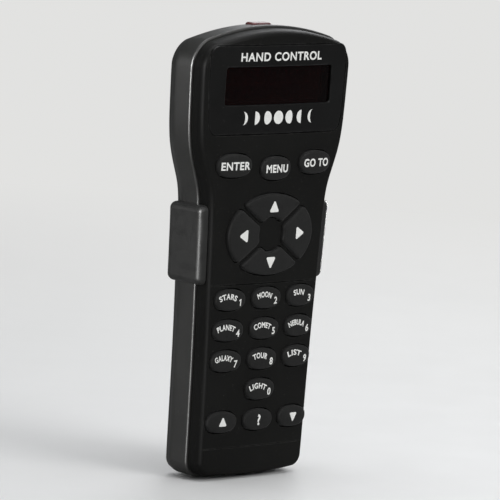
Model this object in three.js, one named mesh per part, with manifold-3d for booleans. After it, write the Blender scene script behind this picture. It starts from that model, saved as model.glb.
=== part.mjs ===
// Hand controller for a computerised telescope mount: a tapered handset with a wide display head,
// twenty rubber keys, two side grips, a cord socket in its foot and a small lamp in its top edge.
// Millimetres, +Z up along the handset, +X to the right as seen from the keys, keys facing -Y.
// The origin is the bottom centre of the bounding box.
// A "depth" is a distance behind the face plane, towards +Y. Outlines are lists of [x, z],
// anticlockwise as seen from the front.
import * as THREE from "three";
import { mergeVertices } from "three/addons/utils/BufferGeometryUtils.js";
import Module from "manifold-3d";

const manifold = await Module();
manifold.setup();

// ---------------------------------------------------------------- driving dimensions
const LENGTH = 166.6; // foot to top edge
const DEPTH = 20.0; // face plane to back plane
const KEY_RISE = 1.35; // highest point of a key above the face
const FACE_Y = -(DEPTH - KEY_RISE) / 2; // face plane at the centre line
const CROWN_RADIUS = 420; // the face is crowned across its width
const SPLIT_DEPTH = 6.9; // joint between the two shells
const SHELL_GAP = 0.15;
const FRONT_INSET = 1.0; // the rear shell's rim shows as a ledge this wide, less its own inset
const WALL = 1.0; // side walls of the front shell
const FACE_WALL = 2.0;
const BACK_WALL = 1.8;

const BOARD_DEPTH = 8.0; // front of the circuit board
const BOARD_THICKNESS = 1.6;
const LCD_BOARD_DEPTH = 9.25;
const LCD_BOARD_THICKNESS = 1.2;
const BOARD_GAP = 0.1; // in front of and behind each board
const BOARD_REAR = BOARD_DEPTH + BOARD_THICKNESS + BOARD_GAP; // seat of parts behind the board
const LCD_BOARD_REAR = LCD_BOARD_DEPTH + LCD_BOARD_THICKNESS + BOARD_GAP;
const BOARD_STATIONS = [60, 95, 104, 110, 116]; // heights along the edges of board and mat
const ABOVE_SOCKET_Z = 17.8; // top of the board's notch, foot of the keypad mat

const KEY_PITCH_X = 18.8;
const KEY_PITCH_Z = 11.3;
const ROW_Z = 21.8; // lowest key row

// half width of the case: [height, half width]
const HALF_WIDTH = [
  [0, 28.3], [8, 28.7], [22, 29.0], [40, 29.4], [56, 29.9], [70, 30.5], [85, 31.1], [98, 31.7],
  [104, 32.3], [108, 33.2], [112, 34.7], [116, 36.3], [120, 37.7], [125, 38.9], [132, 39.7],
  [142, 40.2], [152, 40.5], [LENGTH, 40.5],
];
const SIDE_STATIONS = [30, 62, 88, 101, 106, 110, 114, 118, 123, 131]; // heights of side points
const FOOT_CROWN = 0.0017; // z = FOOT_CROWN x^2 along the foot
const TOP_CROWN = 0.00413; // z = LENGTH - TOP_CROWN x^2 along the top
const FOOT_CORNER = 5.2;
const TOP_CORNER = 8.0;

const yAt = (depth) => FACE_Y + depth;
const crown = (x) => CROWN_RADIUS - Math.sqrt(CROWN_RADIUS * CROWN_RADIUS - x * x);
// y against x of a surface parallel to the crowned face, `below` behind it
const crownY = (below) => (x) => yAt(crown(x) + below);
const across = (half) => [-half, half];
const widen = ([low, high], by) => [low - by, high + by];

// ---------------------------------------------------------------- outlines
// monotone cubic through a table of [t, value]
function monotone(table) {
  const last = table.length - 1;
  const slopes = table
    .slice(1)
    .map(([t, value], i) => (value - table[i][1]) / (t - table[i][0]));
  const tangents = table.map((_, i) => {
    if (i === 0) return slopes[0];
    if (i === last) return slopes[last - 1];
    const product = slopes[i - 1] * slopes[i];
    return product <= 0 ? 0 : (2 * product) / (slopes[i - 1] + slopes[i]);
  });
  return (t) => {
    let i = 0;
    while (i < last - 1 && t > table[i + 1][0]) i++;
    const [start, startValue] = table[i];
    const [end, endValue] = table[i + 1];
    const width = end - start;
    const s = Math.min(Math.max((t - start) / width, 0), 1);
    return (
      (1 + 2 * s) * (1 - s) * (1 - s) * startValue +
      s * (1 - s) * (1 - s) * width * tangents[i] +
      s * s * (3 - 2 * s) * endValue +
      s * s * (s - 1) * width * tangents[i + 1]
    );
  };
}
const halfWidth = monotone(HALF_WIDTH);

// the same points on the other side of the centre line, still anticlockwise
const mirrored = (points) => points.map(([x, z]) => [-x, z]).reverse();

// cubic close to an elliptical quarter from start to end, bulging towards the corner
function bezierCorner(start, corner, end, steps = 4) {
  const handle = 0.5523; // share of the way to the corner
  const target = new THREE.Vector2(...corner);
  const first = new THREE.Vector2(...start);
  const last = new THREE.Vector2(...end);
  const curve = new THREE.CubicBezierCurve(
    first,
    first.clone().lerp(target, handle),
    last.clone().lerp(target, handle),
    last,
  );
  return curve.getPoints(steps).map((p) => [p.x, p.y]);
}

function caseOutline() {
  const onFoot = (x) => [x, FOOT_CROWN * x * x];
  const onTop = (x) => [x, LENGTH - TOP_CROWN * x * x];
  const onSide = (z) => [halfWidth(z), z];
  const footCorner = onFoot(halfWidth(1.2));
  const topCorner = onTop(halfWidth(160));
  const footEnd = onFoot(footCorner[0] - FOOT_CORNER);
  const topEnd = onTop(topCorner[0] - TOP_CORNER);
  const right = [
    onFoot(0),
    onFoot(footEnd[0] / 2),
    ...bezierCorner(footEnd, footCorner, onSide(footCorner[1] + FOOT_CORNER)),
    ...SIDE_STATIONS.map(onSide),
    ...bezierCorner(onSide(topCorner[1] - TOP_CORNER), topCorner, topEnd),
    ...[2, 1, 0].map((i) => onTop((topEnd[0] * i) / 3)),
  ];
  return [...right, ...mirrored(right.slice(1, -1))];
}
const OUTLINE = caseOutline();

// outline moved inwards, or outwards for a negative distance
function inset(points, distance) {
  const count = points.length;
  return points.map(([x, z], i) => {
    const before = points[(i + count - 1) % count];
    const after = points[(i + 1) % count];
    const dx = after[0] - before[0];
    const dz = after[1] - before[1];
    const length = Math.hypot(dx, dz);
    return [x - (dz / length) * distance, z + (dx / length) * distance];
  });
}

function quarterArc(centreX, centreZ, radius, start, steps = 4) {
  return Array.from({ length: steps + 1 }, (_, i) => {
    const angle = start + ((Math.PI / 2) * i) / steps;
    return [centreX + radius * Math.cos(angle), centreZ + radius * Math.sin(angle)];
  });
}

function roundedRect([x0, x1], [z0, z1], radius, steps = 4) {
  return [
    ...quarterArc(x1 - radius, z0 + radius, radius, -Math.PI / 2, steps),
    ...quarterArc(x1 - radius, z1 - radius, radius, 0, steps),
    ...quarterArc(x0 + radius, z1 - radius, radius, Math.PI / 2, steps),
    ...quarterArc(x0 + radius, z0 + radius, radius, Math.PI, steps),
  ];
}

// ---------------------------------------------------------------- solids
function toSolid(geometry) {
  for (const name of Object.keys(geometry.attributes)) {
    if (name !== "position") geometry.deleteAttribute(name);
  }
  const merged = mergeVertices(geometry, 1e-4);
  return new manifold.Manifold(
    new manifold.Mesh({
      numProp: 3,
      vertProperties: merged.attributes.position.array,
      triVerts: new Uint32Array(merged.index.array),
    }),
  );
}

function toGeometry(solid) {
  const mesh = solid.asOriginal().simplify(0.004).getMesh();
  const geometry = new THREE.BufferGeometry();
  const positions = new Float32Array(mesh.vertProperties);
  geometry.setAttribute("position", new THREE.BufferAttribute(positions, 3));
  geometry.setIndex(new THREE.BufferAttribute(new Uint32Array(mesh.triVerts), 1));
  geometry.computeVertexNormals();
  return geometry;
}

const cut = (solid, ...tools) => tools.reduce((rest, tool) => rest.subtract(tool), solid);
const join = (solid, ...others) => others.reduce((sum, other) => sum.add(other), solid);

// Caps turn a ring of [x, y, z] into triangles that face the front.
const fanTo = (ring, centre) => ring.map((p, i) => [p, ring[(i + 1) % ring.length], centre]);
const ringMean = (ring, axis) => ring.reduce((sum, p) => sum + p[axis], 0) / ring.length;

function earCap(ring) {
  const flat = ring.map(([x, , z]) => new THREE.Vector2(x, z));
  const ears = THREE.ShapeUtils.triangulateShape(flat, []);
  if (ears.length === ring.length - 2) return ears.map((ear) => ear.map((i) => ring[i]));
  // straight runs of points have no ears, so those outlines close to their middle
  return fanTo(ring, [0, 1, 2].map((axis) => ringMean(ring, axis)));
}

// closes to a middle point on the given surface
const fanCap = (surfaceY) => (ring) => {
  const x = ringMean(ring, 0);
  return fanTo(ring, [x, surfaceY(x), ringMean(ring, 2)]);
};

// rows of points from left to right across a symmetrical ring, on the given surface
const rowsCap = (surfaceY) => (ring) => {
  const columns = 6;
  const middle = ring.length / 2;
  const rowAt = (i) => {
    if (i === 0 || i === middle) return [ring[i]];
    const right = ring[i];
    const left = ring[ring.length - i];
    const row = [left];
    for (let c = 1; c < columns; c++) {
      const x = left[0] + ((right[0] - left[0]) * c) / columns;
      row.push([x, surfaceY(x), right[2]]);
    }
    return [...row, right];
  };
  const triangles = [];
  for (let i = 0; i < middle; i++) {
    const low = rowAt(i);
    const high = rowAt(i + 1);
    for (let c = 0; c < columns; c++) {
      if (low.length === 1) triangles.push([low[0], high[c + 1], high[c]]);
      else if (high.length === 1) triangles.push([low[c], low[c + 1], high[0]]);
      else {
        triangles.push([low[c], low[c + 1], high[c + 1]]);
        triangles.push([low[c], high[c + 1], high[c]]);
      }
    }
  }
  return triangles;
};

// skin over rings of [x, y, z] from front to back
function loft(rings, frontCap = earCap) {
  const triangles = [];
  const count = rings[0].length;
  for (let k = 0; k + 1 < rings.length; k++) {
    const front = rings[k];
    const back = rings[k + 1];
    for (let i = 0; i < count; i++) {
      const j = (i + 1) % count;
      triangles.push([front[i], back[i], back[j]], [front[i], back[j], front[j]]);
    }
  }
  triangles.push(...frontCap(rings[0]));
  triangles.push(...earCap(rings.at(-1)).map(([a, b, c]) => [a, c, b]));
  const geometry = new THREE.BufferGeometry();
  geometry.setAttribute("position", new THREE.Float32BufferAttribute(triangles.flat(2), 3));
  return toSolid(geometry);
}
const flatRing = (points, depth) => points.map(([x, z]) => [x, yAt(depth), z]);
const crownRing = (points, below) => points.map(([x, z]) => [x, crownY(below)(x), z]);

const shapeOf = (points) => new THREE.Shape(points.map((p) => new THREE.Vector2(...p)));
const extrude = (points, depth) =>
  new THREE.ExtrudeGeometry(shapeOf(points), { depth, bevelEnabled: false });

// straight prism along Y of an outline, between two depths
function prism(points, from, to) {
  return toSolid(extrude(points, to - from).rotateX(Math.PI / 2).translate(0, yAt(to), 0));
}

// prism along X of a list of [depth, z]
function prismX(points, x, width) {
  const geometry = extrude(points.map(([depth, z]) => [yAt(depth), z]), width);
  // shape axes to Y and Z, extrusion to X
  geometry.applyMatrix4(new THREE.Matrix4().set(0, 0, 1, x, 1, 0, 0, 0, 0, 1, 0, 0, 0, 0, 0, 1));
  return toSolid(geometry);
}

function box([x0, x1], [front, back], [z0, z1]) {
  const geometry = new THREE.BoxGeometry(x1 - x0, back - front, z1 - z0);
  return toSolid(geometry.translate((x0 + x1) / 2, yAt((front + back) / 2), (z0 + z1) / 2));
}

// cylinder along Y between two depths
function cylinder({ x, z }, radius, from, to, sides) {
  const geometry = new THREE.CylinderGeometry(radius, radius, to - from, sides);
  return toSolid(geometry.translate(x, yAt((from + to) / 2), z));
}

// profile: [radius, height along the axis]
const lathe = (profile, segments) =>
  new THREE.LatheGeometry(profile.map((p) => new THREE.Vector2(...p)), segments);

// slab over the whole head that follows the crown of the face, between two offsets below it
function crownSlab(front, back) {
  const halfX = 42;
  const bottom = 100;
  const top = 170;
  const columns = 16;
  const row = (below) =>
    Array.from({ length: columns + 1 }, (_, i) => {
      const x = -halfX + (2 * halfX * i) / columns;
      return [x, crownY(below)(x)];
    });
  const points = [...row(front), ...row(back).reverse()];
  return toSolid(extrude(points, top - bottom).translate(0, 0, bottom));
}

// ---------------------------------------------------------------- case bodies
// edge of the face: [further inset, depth below the crowned face];
// below it the side leans out to the joint
const FACE_EDGE = [[2.0, 0], [1.26, 0.28], [0.69, 0.985], [0.35, 1.9]];
// rear shell profile: [depth, inset]
const REAR_EDGE = [
  [SPLIT_DEPTH, 0.3], [SPLIT_DEPTH + 0.5, 0], [14.5, 0.3], [17.6, 1.3], [19.3, 3.0], [DEPTH, 5.2],
];

// solid front half, optionally grown all round except at the joint
function frontBody(grow = 0) {
  const rings = FACE_EDGE.map(([further, below]) =>
    crownRing(inset(OUTLINE, FRONT_INSET + further - grow), below - grow),
  );
  rings.push(flatRing(inset(OUTLINE, FRONT_INSET - grow), SPLIT_DEPTH - SHELL_GAP));
  return loft(rings, rowsCap(crownY(-grow)));
}

// solid rear half, optionally grown all round
function rearBody(grow = 0) {
  const last = REAR_EDGE.length - 1;
  const growDepth = (i) => (i === last ? grow : i === 0 ? -grow : 0);
  return loft(
    REAR_EDGE.map(([depth, by], i) => flatRing(inset(OUTLINE, by - grow), depth + growDepth(i))),
  );
}

function frontCavity() {
  const wall = FRONT_INSET + WALL;
  const side = inset(OUTLINE, wall);
  const rings = [
    crownRing(inset(OUTLINE, wall + 0.6), FACE_WALL),
    crownRing(side, FACE_WALL + 0.6),
    flatRing(side, SPLIT_DEPTH + 1),
  ];
  return loft(rings, rowsCap(crownY(FACE_WALL)));
}

function rearCavity() {
  // [depth, inset]
  const profile = [[SPLIT_DEPTH - 1, 1.9], [14.5, 1.9], [16.6, 2.6], [DEPTH - BACK_WALL, 4.6]];
  return loft(profile.map(([depth, by]) => flatRing(inset(OUTLINE, by), depth)));
}

// ---------------------------------------------------------------- key outlines
const KEY_CLEAR = 0.35; // gap round a key in its opening
const PAD_KEY = [7.5, 3.9]; // half sizes in X and Z
const SOFT_KEY = [8.6, 4.3];
const MENU_KEY = [7.8, 4.3];
const RING_Z = 90.5; // centre of the arrow ring
const RING_HALF_X = 22.4;
const RING_HALF_Z = 15.0;
const RING_HUB_RADIUS = 6.5;
const RING_SPLIT = 1.8; // gap between neighbouring arrow keys
const RING_ROUND = 1.7; // length trimmed off each side of a corner to round it

// superellipse
function oval(centreX, centreZ, halfX, halfZ) {
  const count = 12;
  const power = 2 / 2.4;
  const stretch = (value) => Math.sign(value) * Math.abs(value) ** power;
  return Array.from({ length: count }, (_, i) => {
    const angle = (2 * Math.PI * (i + 0.5)) / count;
    const x = centreX + halfX * stretch(Math.cos(angle));
    return [x, centreZ + halfZ * stretch(Math.sin(angle))];
  });
}

// polyline without the first `length` of its run
function trimStart(points, length) {
  let left = length;
  for (let i = 0; i + 1 < points.length; i++) {
    const [x0, z0] = points[i];
    const [x1, z1] = points[i + 1];
    const step = Math.hypot(x1 - x0, z1 - z0);
    if (step > left) {
      const share = left / step;
      return [[x0 + (x1 - x0) * share, z0 + (z1 - z0) * share], ...points.slice(i + 1)];
    }
    left -= step;
  }
  return points.slice(-1);
}

// joins open polylines end to end, rounding each corner with a quadratic curve
function roundedChain(chains, trim, steps) {
  const trimmed = chains.map((chain) =>
    trimStart(trimStart(chain, trim).reverse(), trim).reverse(),
  );
  return chains.flatMap((chain, i) => {
    const points = [...trimmed[i]];
    const from = points.at(-1);
    const to = trimmed[(i + 1) % chains.length][0];
    const corner = chain.at(-1);
    for (let k = 1; k < steps; k++) {
      const t = k / steps;
      const blend = (q) =>
        (1 - t) * (1 - t) * from[q] + 2 * t * (1 - t) * corner[q] + t * t * to[q];
      points.push([blend(0), blend(1)]);
    }
    return points;
  });
}

// root of f between two bounds
function bisect(f, low, high) {
  for (let i = 0; i < 60; i++) {
    const middle = (low + high) / 2;
    if (f(low) * f(middle) <= 0) high = middle;
    else low = middle;
  }
  return (low + high) / 2;
}

// one quarter of the arrow ring, for the key whose middle points along `side`
function arrowOutline(side) {
  const horizontal = side === "left" || side === "right";
  const slant = Math.atan2(RING_HALF_Z, RING_HALF_X); // direction of the split
  const offset = (horizontal ? -1 : 1) * (RING_SPLIT / 2);
  const outer = (t) => [RING_HALF_X * Math.cos(t), RING_HALF_Z * Math.sin(t)];
  const inner = (t) => [RING_HUB_RADIUS * Math.cos(t), RING_HUB_RADIUS * Math.sin(t)];
  // start and end parameters of the key's edge along a curve
  const limits = (curve) => {
    const distance = (t) => {
      const [x, z] = curve(t);
      return x * -Math.sin(slant) + z * Math.cos(slant) - offset;
    };
    const split = bisect(distance, 0, Math.PI / 2);
    return horizontal ? [-split, split] : [split, Math.PI - split];
  };
  const arc = (curve, from, to, steps) =>
    Array.from({ length: steps + 1 }, (_, i) => curve(from + ((to - from) * i) / steps));
  const [outerStart, outerEnd] = limits(outer);
  const [innerStart, innerEnd] = limits(inner);
  const chains = [
    arc(outer, outerStart, outerEnd, horizontal ? 6 : 8),
    [outer(outerEnd), inner(innerEnd)],
    arc(inner, innerEnd, innerStart, horizontal ? 3 : 4),
    [inner(innerStart), outer(outerStart)],
  ];
  let points = roundedChain(chains, RING_ROUND, 3);
  if (side === "left") points = mirrored(points);
  if (side === "down") points = points.map(([x, z]) => [x, -z]).reverse();
  return points.map(([x, z]) => [x, z + RING_Z]);
}

// ---------------------------------------------------------------- keys
const KEY_TRAVEL = 1.0;
const FLANGE = 0.75; // how far a key's flange stands out behind the face
const FLANGE_THICKNESS = 1.0;
const PLUNGER_RADIUS = 2.7;

const ovalKey = (name, x, z, [halfX, halfZ]) => ({
  name,
  x,
  z,
  outline: oval(x, z, halfX, halfZ),
  opening: oval(x, z, halfX + KEY_CLEAR, halfZ + KEY_CLEAR),
  cap: fanCap(crownY(-KEY_RISE)),
  top: -KEY_RISE + 0.15,
});
// column -1, 0 or 1 from the left, row 0 at the bottom
const padKey = (name, column, row) =>
  ovalKey(name, column * KEY_PITCH_X, ROW_Z + row * KEY_PITCH_Z, PAD_KEY);

function arrowKey(side, x, z) {
  const outline = arrowOutline(side);
  return {
    name: `key_arrow_${side}`,
    x,
    z: RING_Z + z,
    outline,
    opening: inset(outline, -KEY_CLEAR),
    cap: earCap,
    top: -KEY_RISE + 0.1,
  };
}

const keys = [
  ovalKey("key_enter", -21.5, 116.4, SOFT_KEY),
  ovalKey("key_menu", 0, 114.9, MENU_KEY),
  ovalKey("key_goto", 21.5, 116.4, SOFT_KEY),
  ...Array.from({ length: 9 }, (_, i) =>
    padKey(`key_${i + 1}`, (i % 3) - 1, 4 - Math.floor(i / 3)),
  ),
  padKey("key_0", 0, 1),
  padKey("key_scroll_up", -1, 0),
  padKey("key_help", 0, 0),
  padKey("key_scroll_down", 1, 0),
  arrowKey("up", 0, 10.7),
  arrowKey("down", 0, -10.7),
  arrowKey("left", -14.4, 0),
  arrowKey("right", 14.4, 0),
];

// keeps a flange clear of the side walls
function limitFlange([x, z]) {
  const limit = halfWidth(z) - FRONT_INSET - WALL - 1.0;
  return [Math.sign(x) * Math.min(Math.abs(x), limit), z];
}

function makeKey(key) {
  const under = FACE_WALL + 0.15;
  const flange = inset(key.outline, -FLANGE).map(limitFlange);
  const rings = [
    crownRing(inset(key.outline, 0.95), key.top),
    crownRing(inset(key.outline, 0.25), key.top + 0.3),
    crownRing(key.outline, key.top + 0.85),
    crownRing(key.outline, under),
    crownRing(flange, under),
    crownRing(flange, under + FLANGE_THICKNESS),
  ];
  const plungerFront = under + FLANGE_THICKNESS / 2 + crown(key.x);
  const plungerBack = BOARD_DEPTH - KEY_TRAVEL - 0.1;
  return join(
    loft(rings, key.cap),
    cylinder(key, PLUNGER_RADIUS, plungerFront, plungerBack, 8),
  );
}

// ---------------------------------------------------------------- fasteners
const pair = (name, x, z) => [
  { name: `${name}_left`, x: -x, z },
  { name: `${name}_right`, x, z },
];
// Each family: the screws, the bosses of the front shell that take them, and the cylinders
// (reliefs) cut from the rear shell to clear those bosses.
const SCREWS = {
  case: {
    places: [...pair("foot", 20.8, 9.6), ...pair("head", 32.6, 150)],
    seat: 13.5, headRadius: 2.3, headHeight: 1.8, shankRadius: 1.1, length: 8.6,
    bossRadius: 2.5, bossBack: 10.4, bossSides: 12, pilotRadius: 1.2, pilotFront: 3.3,
    reliefRadius: 3.0, reliefBack: 10.45,
  },
  board: {
    places: [...pair("lower", KEY_PITCH_X, ROW_Z + KEY_PITCH_Z), ...pair("upper", 26.2, 107.8)],
    seat: BOARD_REAR, headRadius: 1.9, headHeight: 1.3, shankRadius: 0.85, length: 4.6,
    bossRadius: 2.5, bossBack: BOARD_DEPTH - BOARD_GAP, bossSides: 10,
    pilotRadius: 0.95, pilotFront: 3.4, reliefRadius: 2.9, reliefBack: 9.6,
  },
  lcd: {
    places: [...pair("lower", 25.5, 130.3), ...pair("upper", 25.5, 158.0)],
    seat: LCD_BOARD_REAR, headRadius: 1.9, headHeight: 1.3, shankRadius: 0.85, length: 4.2,
    bossRadius: 2.2, bossBack: LCD_BOARD_DEPTH - BOARD_GAP, bossSides: 10,
    pilotRadius: 0.95, pilotFront: 3.4, reliefRadius: 2.9, reliefBack: 9.6,
  },
};
const BOARD_HOLE_RADIUS = 1.15; // screw holes in both boards
// one solid for every screw place, from make(place, family)
const atScrews = (make) =>
  Object.values(SCREWS).flatMap((family) => family.places.map((place) => make(place, family)));

// pan-head screw driven from the back: underside of the head at the seat, tip towards the face
function makeScrew({ x, z }, { seat, headRadius, headHeight, shankRadius, length }) {
  const profile = [
    [0, -length], [shankRadius * 0.5, -length], [shankRadius, -length + shankRadius],
    [shankRadius, 0], [headRadius, 0], [headRadius, headHeight * 0.5],
    [headRadius * 0.72, headHeight], [0, headHeight],
  ];
  return toSolid(lathe(profile, 10).translate(x, yAt(seat), z));
}

// ---------------------------------------------------------------- openings shared by parts
const JACK = { halfX: 6.6, depth: [5.4, 17.0], z: [0.7, 17.2] };
const LAMP = { halfX: 5.2, depth: [10.9, 15.9] };
const OPENING_CLEAR = 0.3; // round the socket, the lamp and the label
const WINDOW_HALF_X = 28.0;
const WINDOW_Z = [138.4, 152.3];
const LENS_HALF_X = 28.9;
const LENS_Z = widen(WINDOW_Z, 0.9);
const LENS_CLEAR = 0.25;
const BEZEL_INSET = 4.3; // from the side of the case
const BEZEL_THICKNESS = 0.7;
const LABEL_HALF_X = 21;
const LABEL_Z = [93, 123];

// opening round a part that reaches the outside, over the given heights
const openingFor = (part, heights) =>
  box(across(part.halfX + OPENING_CLEAR), widen(part.depth, OPENING_CLEAR), heights);
const jackOpening = openingFor(JACK, [-4, 6]);

// follows the sides of the head, above the keys
function bezelOutline(grow = 0) {
  const radius = 4 + grow;
  const side = (z) => halfWidth(z) - BEZEL_INSET + grow;
  const right = [
    ...quarterArc(side(127) - radius, 127.6 - grow + radius, radius, -Math.PI / 2),
    ...[133, 140, 150].map((z) => [side(z), z]),
    ...quarterArc(side(155) - radius, 160.2 + grow - radius, radius, 0),
  ];
  return [...right, ...mirrored(right)];
}

// ---------------------------------------------------------------- front shell and window
function makeFrontShell() {
  const body = frontBody();
  const bosses = atScrews((place, { bossRadius, bossBack, bossSides }) =>
    cylinder(place, bossRadius, 1.4 + crown(place.x), bossBack, bossSides),
  );
  const pilots = atScrews((place, { pilotRadius, pilotFront }) =>
    cylinder(place, pilotRadius, crown(place.x) + pilotFront, 12, 8),
  );
  // everything in front of a plane just short of the joint
  const frontSpace = prism([[-60, -5], [60, -5], [60, 175], [-60, 175]], -5, SPLIT_DEPTH - 0.5);
  const shell = join(
    cut(body, frontCavity()),
    ...bosses.map((boss) => boss.intersect(body)),
    ...bosses.map((boss) => cut(boss, frontSpace)),
  );
  const lensOpening = roundedRect(
    across(LENS_HALF_X + LENS_CLEAR), widen(LENS_Z, LENS_CLEAR), 1.2, 3,
  );
  return cut(
    shell,
    ...pilots,
    ...keys.map((key) => prism(key.opening, -4, 4.6 + crown(key.x))),
    prism(bezelOutline(0.2), -4, 12).intersect(crownSlab(-3, BEZEL_THICKNESS + 0.2)),
    prism(lensOpening, -4, 6.5),
    jackOpening,
  );
}

function makeDisplayBezel() {
  const window = roundedRect(across(WINDOW_HALF_X), WINDOW_Z, 1.2, 3);
  return prism(bezelOutline(), -4, 12)
    .intersect(crownSlab(0.02, BEZEL_THICKNESS))
    .subtract(prism(window, -6, 14));
}

function makeDisplayLens() {
  return prism(roundedRect(across(LENS_HALF_X), LENS_Z, 1.0, 3), -4, 12).intersect(
    crownSlab(BEZEL_THICKNESS + 0.15, BEZEL_THICKNESS + 1.7),
  );
}

// ---------------------------------------------------------------- rear shell and label
// locating lip inside the front shell, with a broader root behind the joint
function locatingLip() {
  const ring = (by, ...depths) => loft(depths.map((depth) => flatRing(inset(OUTLINE, by), depth)));
  const wall = FRONT_INSET + WALL;
  return cut(
    join(
      ring(wall + 0.2, SPLIT_DEPTH - 1.3, SPLIT_DEPTH + 2),
      ring(1.2, SPLIT_DEPTH + 0.2, SPLIT_DEPTH + 2),
    ),
    ring(wall + 1.2, SPLIT_DEPTH - 2, SPLIT_DEPTH + 3),
  );
}

function makeRearShell() {
  const body = rearBody();
  const { places } = SCREWS.case;
  const tubes = places.map((place) =>
    cylinder(place, 3.3, 10.6, DEPTH - 1, 12).intersect(body),
  );
  const labelRecess = roundedRect(
    across(LABEL_HALF_X + OPENING_CLEAR), widen(LABEL_Z, OPENING_CLEAR), 2.3, 3,
  );
  return cut(
    join(cut(body, rearCavity()), locatingLip(), ...tubes),
    ...places.map((place) => cylinder(place, 1.55, 10, 15, 8)), // shank holes
    ...places.map((place) => cylinder(place, 2.6, 13.4, DEPTH + 2, 12)), // head wells
    jackOpening,
    openingFor(LAMP, [160, 172]),
    prism(labelRecess, DEPTH - 0.6, DEPTH + 3),
    ...atScrews((place, { reliefRadius, reliefBack, bossSides }) =>
      cylinder(place, reliefRadius, SPLIT_DEPTH - 2, reliefBack, bossSides),
    ),
  );
}

const makeRearLabel = () =>
  prism(roundedRect(across(LABEL_HALF_X), LABEL_Z, 2), DEPTH - 0.55, DEPTH - 0.1);

// ---------------------------------------------------------------- side grips
const GRIP_Z = [72.6, 101.8];
const GRIP_OUT = 2.8; // beyond the case outline
const GRIP_ROOT_X = 24; // inner edge before the case is cut away
// from front to back: [depth, inset]
const GRIP_PROFILE = [
  [2.7, 1.3], [2.9, 0.65], [3.35, 0.2], [4.0, 0], [17.0, 0], [18.5, 0.4], [19.4, 1.3], [19.7, 2.3],
];

function gripOutline(by) {
  const [z0, z1] = widen(GRIP_Z, -by);
  const radius = Math.max(2.6 - by, 0.4);
  const side = (z) => halfWidth(z) + GRIP_OUT - by;
  return [
    [GRIP_ROOT_X, z0],
    ...quarterArc(side(z0 + radius) - radius, z0 + radius, radius, -Math.PI / 2),
    ...[80, 87, 94].map((z) => [side(z), z]),
    ...quarterArc(side(z1 - radius) - radius, z1 - radius, radius, 0),
    [GRIP_ROOT_X, z1],
  ];
}

function makeGrip(side) {
  const rings = GRIP_PROFILE.map(([depth, by]) => {
    const right = gripOutline(by);
    return flatRing(side === "left" ? mirrored(right) : right, depth);
  });
  const middle = box(across(27), [0, 22], [60, 110]);
  return cut(loft(rings), frontBody(0.3), rearBody(0.3), middle);
}

// ---------------------------------------------------------------- display parts
const GLASS_HALF_X = 28.4; // glass and backlight
const GLASS_Z = [135.4, 154.3];
const CONNECTOR_THICKNESS = 2.2;
const BOARD_CONNECTOR_Z = 116.5;
const LCD_CONNECTOR_Z = 130.5;

function makeLcdFrame() {
  return cut(
    box(across(29.4), [5.3, 8.9], [134.3, 155.4]),
    box(across(28.7), [5.8, 10], [135.1, 154.6]), // pocket, open to the back
    box(across(27.4), [4, 7], [138.9, 151.8]), // viewing window
  );
}
const makeLcdGlass = () => box(across(GLASS_HALF_X), [6.1, 7.2], GLASS_Z);
const makeBacklight = () => box(across(GLASS_HALF_X), [7.5, 8.8], GLASS_Z);

function makeLcdBoard() {
  const outline = roundedRect(across(29.6), [127.4, 160.4], 1.5, 2);
  return cut(
    prism(outline, LCD_BOARD_DEPTH, LCD_BOARD_DEPTH + LCD_BOARD_THICKNESS),
    ...SCREWS.lcd.places.map((place) => cylinder(place, BOARD_HOLE_RADIUS, 8, 12, 8)),
  );
}

const makeConnector = (z, front) =>
  box(across(9.5), [front, front + CONNECTOR_THICKNESS], [z - 2, z + 2]);

// flat ribbon that loops from one connector to the other
function makeRibbon() {
  const halfThickness = 0.2;
  const width = 16;
  const steps = 10;
  const base = BOARD_REAR + CONNECTOR_THICKNESS + 0.15;
  // [depth behind the base, z]
  const path = new THREE.CubicBezierCurve(
    new THREE.Vector2(0, BOARD_CONNECTOR_Z),
    new THREE.Vector2(4.4, 117),
    new THREE.Vector2(4.4, 130),
    new THREE.Vector2(0.85, LCD_CONNECTOR_Z),
  ).getPoints(steps);
  const edge = (side) =>
    path.map((p, i) => {
      const before = path[Math.max(i - 1, 0)];
      const after = path[Math.min(i + 1, steps)];
      const along = after.clone().sub(before);
      const shift = (side * halfThickness) / along.length();
      return [base + p.x - along.y * shift + halfThickness, p.y + along.x * shift];
    });
  return prismX([...edge(1), ...edge(-1).reverse()], -width / 2, width);
}

// ---------------------------------------------------------------- circuit board and keypad mat
function makeCircuitBoard() {
  const side = (z) => halfWidth(z - 1.5) - 4.2;
  const right = [
    [7.0, ABOVE_SOCKET_Z], [7.0, 4.2], [16.2, 4.2], [16.2, 15.2], [side(15.2), 15.2],
    ...BOARD_STATIONS.map((z) => [side(z), z]),
    [side(123) - 2, 123.6],
  ];
  return cut(
    prism([...right, ...mirrored(right)], BOARD_DEPTH, BOARD_DEPTH + BOARD_THICKNESS),
    ...SCREWS.board.places.map((place) => cylinder(place, BOARD_HOLE_RADIUS, 7, 11, 8)),
  );
}

function makeKeypadMat() {
  const thickness = 1.2;
  const back = BOARD_DEPTH - BOARD_GAP;
  const right = [
    [0, ABOVE_SOCKET_Z],
    [halfWidth(ABOVE_SOCKET_Z) - 4.4, ABOVE_SOCKET_Z],
    ...BOARD_STATIONS.map((z) => [halfWidth(z - 1.5) - 4.4, z]),
    [halfWidth(122) - 5, 122.4],
    [0, 122.4],
  ];
  return cut(
    prism([...right, ...mirrored(right.slice(1, -1))], back - thickness, back),
    ...keys.map((key) => cylinder(key, PLUNGER_RADIUS + 0.45, 5, 10, 8)),
    ...SCREWS.board.places.map((place) => cylinder(place, 2.9, 5, 10, 10)),
  );
}

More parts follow.
